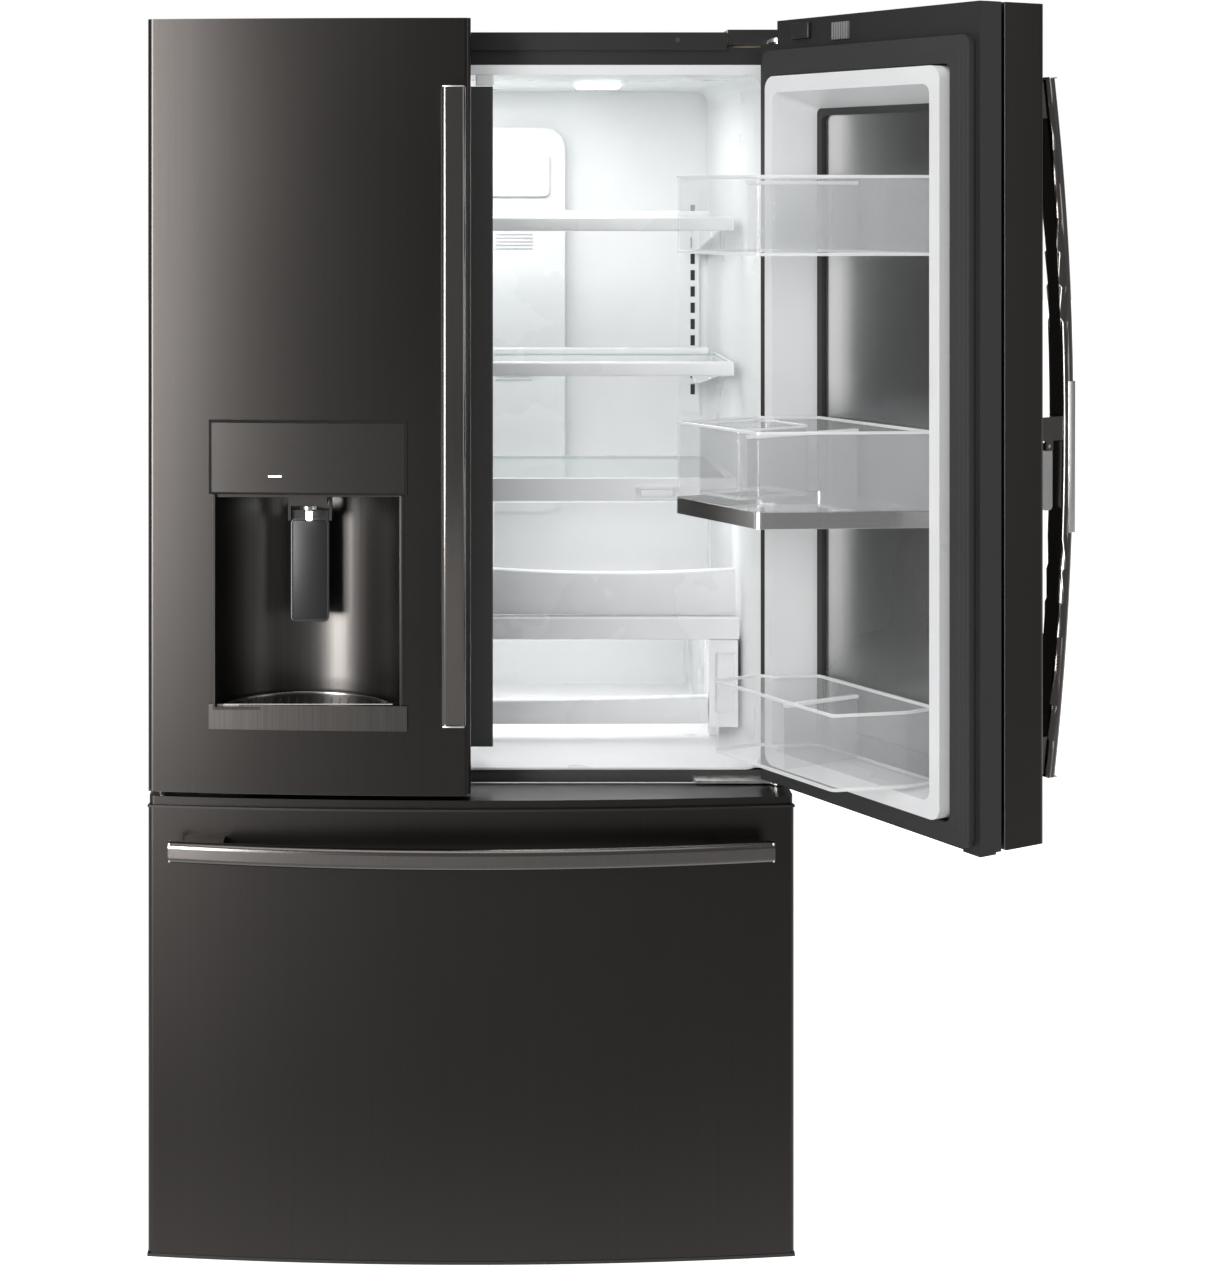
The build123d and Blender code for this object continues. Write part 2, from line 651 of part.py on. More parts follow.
water_radius = 3.175
water_at = (360, 270)
with BuildPart() as rear_connections:
    with Locations((water_at[0], back + 15, water_at[1])):
        Cylinder(water_radius, 30, rotation=(90, 0, 0))
    with Locations((water_at[0], back + 2.1, water_at[1])):
        Cylinder(9, 4, rotation=(90, 0, 0))
    block((-420, -360), (back + touch, back + 12), (250, 290))
    block((-412, -368), (back + 6, back + 13), (257, 283), Mode.SUBTRACT)
    for x in (-398, -390, -382):
        block((x - 1, x + 1), (back + 5, back + 11), (266, 274))
rear_connections.part.label = "rear_connections"
export_step(rear_connections.part, "parts/rear_connections.step")

# ---------------------------------------------------------------- freezer drawer
slide_z = (345, 385)
slide_y = (front + 4, evap_front - 6)
slide_thick = 6.5
drawer_travel = 400
drawer_plate = 10

with BuildPart() as outer_slides:
    for side in (-1, 1):
        x = sorted((side * (freezer_half - slide_thick), side * (freezer_half - touch)))
        block(x, slide_y, slide_z)
outer_slides.part.label = "outer_slides"
export_step(outer_slides.part, "parts/outer_slides.step")

with BuildPart() as middle_slides:
    outer_face = freezer_half - slide_thick - moving
    for side in (-1, 1):
        x = sorted((side * (outer_face - slide_thick), side * outer_face))
        block(x, slide_y, (slide_z[0] + 5, slide_z[1] - 5))
middle_slides.part.label = "middle_slides"
export_step(middle_slides.part, "parts/middle_slides.step")

drawer_back = out(-door_back + drawer_plate)
with BuildPart() as drawer_panel:
    door_skin((-half, half), drawer_back, (drawer_bottom, drawer_top))
    cap = (drawer_top, drawer_top + drawer_cap_height)
    bowed_slab((-half + 1, half - 1), 5, drawer_back, cap, corner=door_corner)
    under_cap = (cap[0] - sheet - 1, cap[1] - sheet)
    bowed_slab((-half + 4, half - 4), 8, drawer_back + 1, under_cap, Mode.SUBTRACT, door_corner - sheet)
drawer_panel.part.label = "drawer_panel"
export_step(drawer_panel.part, "parts/drawer_panel.step")

with BuildPart() as drawer_liner:
    plate_y = (drawer_back + touch, out(-door_back))
    block((-half + 2, half - 2), plate_y, (drawer_bottom + 2, drawer_top + drawer_cap_height - 1))
    inner_face = freezer_half - 2 * (slide_thick + moving)
    for side in (-1, 1):
        x = sorted((side * (inner_face - slide_thick), side * inner_face))
        block(x, (plate_y[1] - 1, slide_y[1] - 20), (slide_z[0] + 10, slide_z[1] - 10))
drawer_liner.part.label = "drawer_liner"
export_step(drawer_liner.part, "parts/drawer_liner.step")

gasket_y = (out(-door_back) + touch, front - gasket_squash)
with BuildPart() as drawer_gasket:
    rounded_slab((-half + 22, half - 22), gasket_y, (freezer_floor - 24, freezer_flange_top - 1), 14)
    rounded_slab((-half + 45, half - 45), (gasket_y[0] - 1, gasket_y[1] + 1), (freezer_floor - 2, freezer_top - 2), 8, Mode.SUBTRACT)
drawer_gasket.part.label = "drawer_gasket"
export_step(drawer_gasket.part, "parts/drawer_gasket.step")

drawer_grip = half - 36
drawer_handle_z = 622
grip_out = (38, 56)
with BuildPart() as drawer_handle:
    ends = [(x, face_y(drawer_grip) - grip_out[0], drawer_handle_z) for x in (-drawer_grip, drawer_grip)]
    with BuildLine() as grip_path:
        ThreePointArc(ends[0], (0, face_y(0) - grip_out[1], drawer_handle_z), ends[1])
    with BuildSketch(Plane(grip_path.line @ 0, x_dir=(0, 0, 1), z_dir=grip_path.line % 0)):
        RectangleRounded(29, 18, 8)
    sweep()
    for side in (-1, 1):
        foot_x = side * (drawer_grip - 46)
        foot = (foot_x - 28, foot_x + 28)
        bowed_plate(foot, (-grip_out[0] - 2, -touch), (drawer_handle_z - 12, drawer_handle_z + 12))
drawer_handle.part.label = "drawer_handle"
export_step(drawer_handle.part, "parts/drawer_handle.step")

bin_half = freezer_half - 33
with BuildPart() as freezer_bins:
    tray((-bin_half, bin_half), (front + 6, front + freezer_depth_low - 12), (freezer_floor + 12, 330), 3, (60, 8), 20)
    tray((-bin_half, bin_half), (front + 6, evap_front - 20), (410, 570), 3, (40, 8), 20)
freezer_bins.part.label = "freezer_bins"
export_step(freezer_bins.part, "parts/freezer_bins.step")

# ---------------------------------------------------------------- left door
dike_u = (30, half - 64)
dike_z = (fridge_floor + 25.5, fridge_top - 7)
dike_v = 47
dike_wall = 16
dike_radius = 18
door_plate = 10
left_x = (-half, left_edge)
handle_half = 17
handle_x = 27
alcove_mid = -228
alcove_half = 130
alcove_depth = 100
alcove_z = (817, 1113)
panel_z = (1113, 1217)
panel_x = (alcove_mid - 139, alcove_mid + 138.5)
lip_bottom = 785
alcove_radius = (alcove_half**2 + alcove_depth**2) / (2 * alcove_depth)
alcove_face = face_y(alcove_mid)
alcove_center_y = alcove_face + alcove_depth - alcove_radius
housing_wall = 3
left_back = out(-door_back + door_plate)

with BuildPart() as left_panel:
    door_skin(left_x, left_back, (door_bottom, door_top))
    for bush in ((door_bottom + 0.5, door_bottom + pin_length + 4), (notch_floor - pin_length - 4, notch_floor - 0.5)):
        block((-half + 0.5, -axis_x + 9), (axis_y - 9, axis_y + 9), bush)
    notch = (-half - 1, -axis_x + 24)
    block(notch, (out(26), left_back + 1), (notch_floor - sheet, door_top + 1), Mode.SUBTRACT)
    block((-half, notch[1] + sheet), (out(26 + sheet), left_back), (notch_floor - sheet, notch_floor))
    block((notch[1], notch[1] + sheet), (out(26 + sheet), left_back), (notch_floor - sheet, door_top))
    block((-half, notch[1] + sheet), (out(26 + sheet), out(26)), (notch_floor - sheet, door_top))
    for hole in ((door_bottom - 1, door_bottom + pin_length + 2), (notch_floor - pin_length - 2, notch_floor + 1)):
        post(-axis_x, axis_y, hole, pin_radius + running, Mode.SUBTRACT)
    mouth_x = (alcove_mid - alcove_half - housing_wall - touch, alcove_mid + alcove_half + housing_wall + touch)
    block(mouth_x, (face_y(0) - 5, alcove_face + 30), (alcove_z[0] - 4, panel_z[0] + 1), Mode.SUBTRACT)
    block((panel_x[0] - touch, panel_x[1] + touch), (face_y(0) - 5, alcove_face + 30), (panel_z[0], panel_z[1] + touch), Mode.SUBTRACT)
left_panel.part.label = "left_panel"
export_step(left_panel.part, "parts/left_panel.step")


def door_bin(u_v, z, wall, floor):
    """An open bin from its outline, given as distances from the hinge pins."""
    with BuildSketch(Plane.XY.offset(z[0])) as outline:
        with BuildLine():
            Polyline(*[(axis_x - u, out(v)) for u, v in u_v], close=True)
        make_face()
        fillet(outline.vertices(), 7)
    extrude(outline.sketch, amount=z[1] - z[0])
    with BuildSketch(Plane.XY.offset(z[0] + floor)) as hollow:
        with BuildLine():
            Polyline(*[(axis_x - u, out(v)) for u, v in u_v], close=True)
        make_face()
        fillet(hollow.vertices(), 7)
        offset(amount=-wall, mode=Mode.REPLACE)
    extrude(hollow.sketch, amount=z[1] - z[0], mode=Mode.SUBTRACT)


mullion_axis = (-18, front + 11.5)
mullion_pin = 3
mullion_right = 33
mullion_z = (fridge_floor + 30, fridge_top - 17)
ice_z = (1250, fridge_top - 15)
ice_front = 120
chute_x = (alcove_mid - 28, alcove_mid + 28)
chute_z = (ice_z[0] + 12, ice_z[0] + 62)
bulge_z = (800, 1236)
bulge_v = 62
with BuildPart() as left_liner:
    block((left_x[0] + 0.5, left_x[1] - 0.5), (left_back + touch, out(-door_back)), (door_bottom + 1, door_top - 1))
    outer = (-axis_x + dike_u[0], -axis_x + dike_u[1])
    inner = (outer[0] + dike_wall, outer[1] - dike_wall)
    rounded_slab(outer, (out(-door_back), out(-dike_v)), dike_z, dike_radius)
    hollow_z = (dike_z[0] + dike_wall, dike_z[1] - dike_wall)
    rounded_slab(inner, (out(-door_back), out(-dike_v - 1)), hollow_z, 8, Mode.SUBTRACT)
    rounded_slab((outer[0] + 24, outer[1] - 24), (out(-door_back + 1), out(-bulge_v)), bulge_z, 20)
    block((left_x[0] - 1, -axis_x + 24), (left_back - 1, out(-door_back - 1)), (notch_floor, door_top + 1), Mode.SUBTRACT)
    back_of_alcove = alcove_radius + housing_wall + touch
    post(alcove_mid, alcove_center_y, (alcove_z[0] - 6, alcove_z[1] + 6), back_of_alcove, Mode.SUBTRACT)
    block(chute_x, (left_back - 1, out(-door_back) + 1), chute_z, Mode.SUBTRACT)
    ear_x = (outer[1] - 1, mullion_axis[0] + 8)
    for ear_z in ((mullion_z[0] - 4, mullion_z[0] - 0.3), (mullion_z[1] + 0.3, mullion_z[1] + 4)):
        block(ear_x, (front + 1.5, front + 17), ear_z)
        post(*mullion_axis, (ear_z[0] - 1, ear_z[1] + 1), mullion_pin + running, Mode.SUBTRACT)
left_liner.part.label = "left_liner"
export_step(left_liner.part, "parts/left_liner.step")

gasket_u = (4, half - 26)
gasket_z = (fridge_floor - 3, fridge_top + 31)
gasket_inner_u = (dike_u[0] - 1.5, dike_u[1] + 2)
gasket_inner_z = (fridge_floor + 23, fridge_top - 4.5)
with BuildPart() as left_gasket:
    rounded_slab((-axis_x + gasket_u[0], -axis_x + gasket_u[1]), gasket_y, gasket_z, 14)
    inner = (-axis_x + gasket_inner_u[0], -axis_x + gasket_inner_u[1])
    rounded_slab(inner, (gasket_y[0] - 1, gasket_y[1] + 1), gasket_inner_z, 10, Mode.SUBTRACT)
left_gasket.part.label = "left_gasket"
export_step(left_gasket.part, "parts/left_gasket.step")

handle_out = (18, 52)
handle_foot = 42
left_handle_z = (door_bottom + 103, door_top - 97)
right_handle_z = (door_bottom + 81, door_top - 95)


def grip(x, z, foot):
    """A bowed upright grip with a foot at each end."""
    face = face_y(abs(x))
    points = [(x, face - handle_out[0], z[0]), (x, face - handle_out[1], (z[0] + z[1]) / 2), (x, face - handle_out[0], z[1])]
    with BuildLine() as path:
        ThreePointArc(*points)
    with BuildSketch(Plane(path.line @ 0, x_dir=(1, 0, 0), z_dir=path.line % 0)) as section:
        RectangleRounded(2 * handle_half, 18, 7)
    sweep(section.sketch, path=path.line)
    for foot_z in ((z[0] + 4, z[0] + foot), (z[1] - foot, z[1] - 4)):
        block((x - 11, x + 11), (face - handle_out[0] - 4, face - touch), foot_z)


with BuildPart() as left_handle:
    grip(-handle_x + door_split, left_handle_z, handle_foot)
left_handle.part.label = "left_handle"
export_step(left_handle.part, "parts/left_handle.step")

paddle_x = (alcove_mid - 26, alcove_mid + 26)
paddle_z = (926, 1084)
paddle_y = alcove_face + 60
paddle_pivot = 1076
trunnion = 2
with BuildPart() as dispenser_housing:
    post(alcove_mid, alcove_center_y, (alcove_z[0] - 4, alcove_z[1] - touch), alcove_radius + housing_wall)
    post(alcove_mid, alcove_center_y, alcove_z, alcove_radius, Mode.SUBTRACT)
    block((alcove_mid - 300, alcove_mid + 300), (alcove_face - 400, alcove_face + 1.5), (0, 2000), Mode.SUBTRACT)
    roof_x = (alcove_mid - alcove_half + 1, alcove_mid + alcove_half - 1)
    block(roof_x, (alcove_face + 8, alcove_face + 26), (alcove_z[1] - 4, alcove_z[1] - touch))
    nozzle_x = (alcove_mid - 26, alcove_mid + 26)
    block(nozzle_x, (alcove_face + 12, alcove_face + 88), (alcove_z[1] - 17, alcove_z[1] - touch))
    with Locations((alcove_mid, alcove_face + 34, alcove_z[1] - 22)):
        Cone(3.5, 6, 12)
    for side in (-1, 1):
        ear_x = sorted((alcove_mid + side * 27, alcove_mid + side * 31))
        block(ear_x, (paddle_y - 7, paddle_y + 13), (paddle_pivot - 6, alcove_z[1] - touch))
        with Locations((alcove_mid + side * 29, paddle_y + 3, paddle_pivot)):
            Cylinder(trunnion + running, 8, rotation=(0, 90, 0), mode=Mode.SUBTRACT)
    bowed_plate((panel_x[0], panel_x[1]), (-3, -touch), (lip_bottom, alcove_z[0] + 3))
    bowed_slab((roof_x[0], roof_x[1]), -1, alcove_face + 20, (alcove_z[0] - 3.9, alcove_z[0]))
dispenser_housing.part.label = "dispenser_housing"
export_step(dispenser_housing.part, "parts/dispenser_housing.step")

with BuildPart() as control_panel:
    bowed_plate(panel_x, (-1.5, 7), (panel_z[0] + touch, panel_z[1]))
control_panel.part.label = "control_panel"
export_step(control_panel.part, "parts/control_panel.step")

with BuildPart() as dispenser_paddle:
    block(paddle_x, (paddle_y, paddle_y + 6), paddle_z)
    fillet(dispenser_paddle.edges().filter_by(Axis.Y).group_by(Axis.Z)[0], 8)
    with Locations((alcove_mid, paddle_y + 3, paddle_pivot)):
        Cylinder(trunnion, 60, rotation=(0, 90, 0))
dispenser_paddle.part.label = "dispenser_paddle"
export_step(dispenser_paddle.part, "parts/dispenser_paddle.step")

with BuildPart() as ice_compartment:
    ice_x = (-axis_x + dike_u[0] + dike_wall + 4, -axis_x + dike_u[1] - dike_wall - 6)
    ice_y = (out(-door_back) + touch, out(-ice_front))
    block(ice_x, ice_y, (ice_z[0], dike_z[1] - dike_wall - 3))
    fillet(ice_compartment.edges().filter_by(Axis.Z).group_by(Axis.Y)[-1], 14)
    inside = (ice_x[0] + 4, ice_x[1] - 4)
    block(inside, (ice_y[0] + 4, ice_y[1] - 4), (ice_z[0] + 4, dike_z[1] - dike_wall - 7), Mode.SUBTRACT)
    bucket = (ice_x[0] + 8, ice_x[1] - 8)
    block(bucket, (ice_y[0] + 8, ice_y[1] - 8), (ice_z[0] + 4.2, 1480))
    block((bucket[0] + 3, bucket[1] - 3), (ice_y[0] + 11, ice_y[1] - 11), (ice_z[0] + 8, 1481), Mode.SUBTRACT)
    block(inside, (ice_y[0] + 12, ice_y[1] - 16), (1560, 1620))
    block((bucket[0] + 20, bucket[1] - 20), (ice_y[0] + 20, ice_y[1] - 24), (1575, 1621), Mode.SUBTRACT)
    block(chute_x, (ice_y[0] - 1, ice_y[0] + 12), chute_z, Mode.SUBTRACT)
ice_compartment.part.label = "ice_compartment"
export_step(ice_compartment.part, "parts/ice_compartment.step")

left_bin_z = (750, 798)
bin_gap = 0.3
with BuildPart() as left_bin:
    bin_x = (-axis_x + dike_u[0] + dike_wall + 2, -axis_x + dike_u[1] - dike_wall - 2)
    block(bin_x, (out(-door_back) + bin_gap, out(-118)), left_bin_z)
    fillet(left_bin.edges().filter_by(Axis.Z).group_by(Axis.Y)[-1], 26)
    inside = (bin_x[0] + 2.5, bin_x[1] - 2.5)
    block(inside, (out(-door_back) + 3, out(-112)), (left_bin_z[0] + 3, left_bin_z[1] + 1), Mode.SUBTRACT)
left_bin.part.label = "left_bin"
export_step(left_bin.part, "parts/left_bin.step")

with BuildPart() as mullion:
    block((mullion_axis[0], mullion_right), (front + 0.5, front + 22.5), mullion_z)
    fillet(mullion.edges().filter_by(Axis.Z).group_by(Axis.X)[-1], 3)
    post(*mullion_axis, mullion_z, 11)
    for pin_z in ((mullion_z[0] - 4, mullion_z[0] + 1), (mullion_z[1] - 1, mullion_z[1] + 4)):
        post(*mullion_axis, pin_z, mullion_pin)
mullion.part.label = "mullion"
export_step(mullion.part, "parts/mullion.step")

# ---------------------------------------------------------------- right door, shaped shut and then swung open
frame_v = 16
panel_v = 24
door_u = (-hinge_inset, axis_x - right_edge)
opening_u = (dike_u[0] + 16, dike_u[1] - 19)
opening_z = (fridge_floor + 48, fridge_top - 30)
draft = 22
low_draft = 4
bore_u = (dike_u[0] + 8, dike_u[1] - 13)
bore_z = (fridge_floor + 44, fridge_top - 22)
panel_pivot = 36
skin_thick = 1.5
ear_half = 9
ear_levels = (door_bottom + 5, door_top - 40)
ear_thick = 4
panel_pin = 3

with BuildPart() as right_frame:
    block(span(*door_u), (out(frame_v), out(-door_back)), (door_bottom, door_top))
    rounded_slab(span(*bore_u), (out(frame_v) - 1, out(-door_back) + 1), bore_z, 10, Mode.SUBTRACT)
    block(span(door_u[0] - 1, 24), (out(frame_v) - 1, out(-door_back) + 1), (notch_floor, door_top + 1), Mode.SUBTRACT)
    for hole in ((door_bottom - 1, door_bottom + pin_length + 2), (notch_floor - pin_length - 2, notch_floor + 1)):
        post(axis_x, axis_y, hole, pin_radius + running, Mode.SUBTRACT)
    for level in ear_levels:
        block(span(-ear_half, ear_half), (out(panel_pivot), out(frame_v - 1)), (level, level + ear_thick))
        post(axis_x, out(panel_pivot), (level, level + ear_thick), ear_half)
        post(axis_x, out(panel_pivot), (level, level + ear_thick + 22), panel_pin)
right_frame.part.locate(open_right)
right_frame.part.label = "right_frame"
export_step(right_frame.part, "parts/right_frame.step")

with BuildPart() as right_liner:
    rounded_slab(span(*dike_u), (out(-door_back) + touch, out(-dike_v)), dike_z, dike_radius)
    sleeve_u = (bore_u[0] + touch, bore_u[1] - touch)
    sleeve_z = (bore_z[0] + touch, bore_z[1] - touch)
    rounded_slab(span(*sleeve_u), (out(frame_v), out(-door_back) + 1), sleeve_z, 10)
    mouth = (opening_u[1] - opening_u[0], opening_z[1] - opening_z[0])
    far = (mouth[0] - 2 * draft, mouth[1] - draft - low_draft)
    middle = (axis_x - sum(opening_u) / 2, sum(opening_z) / 2)
    with BuildSketch(Plane.XZ.offset(-out(-dike_v))):
        with Locations(middle):
            RectangleRounded(mouth[0], mouth[1], 14)
    with BuildSketch(Plane.XZ.offset(-out(frame_v))):
        with Locations((middle[0], opening_z[0] + low_draft + far[1] / 2)):
            RectangleRounded(far[0], far[1], 8)
    loft(mode=Mode.SUBTRACT)
right_liner.part.locate(open_right)
right_liner.part.label = "right_liner"
export_step(right_liner.part, "parts/right_liner.step")

ring_outer_u = (bore_u[0] + 4, bore_u[1] - 4)
ring_outer_z = (bore_z[0] + 4, bore_z[1] - 4)
ring_width = 36
with BuildPart() as right_gaskets:
    rounded_slab(span(*gasket_u), gasket_y, gasket_z, 14)
    inner_y = (gasket_y[0] - 1, gasket_y[1] + 1)
    rounded_slab(span(*gasket_inner_u), inner_y, gasket_inner_z, 10, Mode.SUBTRACT)
    ring_y = (out(panel_v - skin_thick - gasket_squash), out(frame_v) - touch)
    rounded_slab(span(*ring_outer_u), ring_y, ring_outer_z, 10)
    hole_u = (ring_outer_u[0] + ring_width, ring_outer_u[1] - ring_width)
    hole_z = (ring_outer_z[0] + ring_width, ring_outer_z[1] - ring_width)
    rounded_slab(span(*hole_u), (ring_y[0] - 1, ring_y[1] + 1), hole_z, 8, Mode.SUBTRACT)
right_gaskets.part.locate(open_right)
right_gaskets.part.label = "right_gaskets"
export_step(right_gaskets.part, "parts/right_gaskets.step")

big_bin = [(32, -202), (214, -202), (314, 0), (320, 12), (78, 12), (56, -48), (32, -60)]
small_bin = [(32, -137), (288, -137), (320, -40), (320, 12), (78, 12), (56, -48), (32, -60)]
bins = {
    "top_bin": (big_bin, (1452, 1557)),
    "middle_bin": (big_bin, (1094, 1220)),
    "bottom_bin": (small_bin, (758, 857)),
}
for name, (outline, levels) in bins.items():
    with BuildPart() as bin_part:
        door_bin(outline, levels, 2.5, 4)
    bin_part.part.locate(open_right)
    bin_part.part.label = name
    export_step(bin_part.part, f"parts/{name}.step")

trigger_z = (1121, 1209)
trigger_pin = 2.5
trigger_pin_z = 1205
stem_z = (1212, 1243)
right_handle_x = handle_x + door_split
right_face = face_y(right_handle_x)
with BuildPart() as outer_panel:
    shell_back = out(panel_v + touch)
    panel_span = span(*door_u)
    door_skin(panel_span, shell_back, (door_bottom, door_top))
    for level in ear_levels:
        socket = (level + ear_thick + 1, level + ear_thick + 26)
        block(span(door_u[0] + 0.5, 11), (out(panel_pivot + 10), out(panel_pivot - 10)), socket)
        slot = (level - 1, level + ear_thick + 1)
        block(span(door_u[0] - 1, 13), (out(panel_pivot + 13), shell_back + 1), slot, Mode.SUBTRACT)
        hole = (level, level + ear_thick + 24)
        post(axis_x, out(panel_pivot), hole, panel_pin + running, Mode.SUBTRACT)
outer_panel.part.locate(open_right)
outer_panel.part.label = "outer_panel"
export_step(outer_panel.part, "parts/outer_panel.step")

with BuildPart() as inner_skin:
    skin_y = (out(panel_v), out(panel_v - skin_thick))
    block(span(door_u[0] + 2, door_u[1] - 1), skin_y, (door_bottom + 1, door_top - 1))
    for level in ear_levels:
        block(span(door_u[0] - 1, 13), (skin_y[0] - 1, skin_y[1] + 1), (level - 1.5, level + ear_thick + 1.5), Mode.SUBTRACT)
inner_skin.part.locate(open_right)
inner_skin.part.label = "inner_skin"
export_step(inner_skin.part, "parts/inner_skin.step")

with BuildPart() as right_handle:
    grip(right_handle_x, right_handle_z, handle_foot + 10)
    block((right_handle_x - 12.5, right_handle_x + 12.5), (right_face - 46, right_face - touch), stem_z)
    for side in (-1, 1):
        ear = sorted((right_handle_x + side * 9, right_handle_x + side * 12.5))
        block(ear, (right_face - 25, right_face - 13), (trigger_pin_z - 6, stem_z[0] + 1))
    with Locations((right_handle_x, right_face - 19, trigger_pin_z)):
        Cylinder(trigger_pin + running, 30, rotation=(0, 90, 0), mode=Mode.SUBTRACT)
right_handle.part.locate(open_right)
right_handle.part.label = "right_handle"
export_step(right_handle.part, "parts/right_handle.step")

with BuildPart() as latch_trigger:
    block((right_handle_x - 8, right_handle_x + 8), (right_face - 28, right_face - 10), trigger_z)
    fillet(latch_trigger.edges().filter_by(Axis.X).group_by(Axis.Z)[0], 6)
    with Locations((right_handle_x, right_face - 19, trigger_pin_z)):
        Cylinder(trigger_pin, 24, rotation=(0, 90, 0))
latch_trigger.part.locate(open_right)
latch_trigger.part.label = "latch_trigger"
export_step(latch_trigger.part, "parts/latch_trigger.step")
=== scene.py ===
"""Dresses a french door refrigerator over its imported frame. Metres, +Z up, front towards -Y."""

import json
import logging
import math
from collections.abc import Iterable, Sequence
from dataclasses import dataclass, field
from enum import Enum

import bmesh
import bpy
from mathutils import Matrix, Vector


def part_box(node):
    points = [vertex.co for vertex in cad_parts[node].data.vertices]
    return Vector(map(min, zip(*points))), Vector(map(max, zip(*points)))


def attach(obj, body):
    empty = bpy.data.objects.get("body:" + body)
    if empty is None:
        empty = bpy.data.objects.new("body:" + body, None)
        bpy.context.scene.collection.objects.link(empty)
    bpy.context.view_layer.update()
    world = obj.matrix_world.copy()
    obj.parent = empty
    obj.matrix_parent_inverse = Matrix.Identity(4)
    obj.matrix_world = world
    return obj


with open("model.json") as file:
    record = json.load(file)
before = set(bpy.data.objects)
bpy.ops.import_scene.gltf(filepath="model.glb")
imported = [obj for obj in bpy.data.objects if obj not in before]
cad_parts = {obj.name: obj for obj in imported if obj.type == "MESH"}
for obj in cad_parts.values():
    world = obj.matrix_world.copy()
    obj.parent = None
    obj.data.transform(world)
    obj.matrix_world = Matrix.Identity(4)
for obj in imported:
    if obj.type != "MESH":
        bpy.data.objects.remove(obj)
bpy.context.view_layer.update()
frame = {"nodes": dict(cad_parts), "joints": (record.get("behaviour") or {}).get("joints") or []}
LOG = logging.getLogger("refrigerator")
Point = tuple[float, float, float]
Box = tuple[Point, Point]
Span = tuple[float, float]
Ring = list[bmesh.types.BMVert]
# A noise pattern keeps most of its values in this range.
MIDDLE_RANGE = (0.3, 0.7)
# Edges flatter than this are shaded smooth.
SMOOTH_BELOW = math.radians(35)
# A corner's curve starts and ends this share of the shorter side from it.
CORNER_REACH = 0.45
UP, FRONT, BACK = Vector((0, 0, 1)), Vector((0, -1, 0)), Vector((0, 1, 0))


class Grain(Enum):
    """Which way a brushed finish runs."""

    UPRIGHT = (420.0, 420.0, 2.2)
    ACROSS = (2.2, 420.0, 420.0)


class Reach(Enum):
    """Which surfaces a light panel shows on, as (matte, glossy)."""

    ALL = (True, True)
    GLOSSY = (False, True)
    MATTE = (True, False)


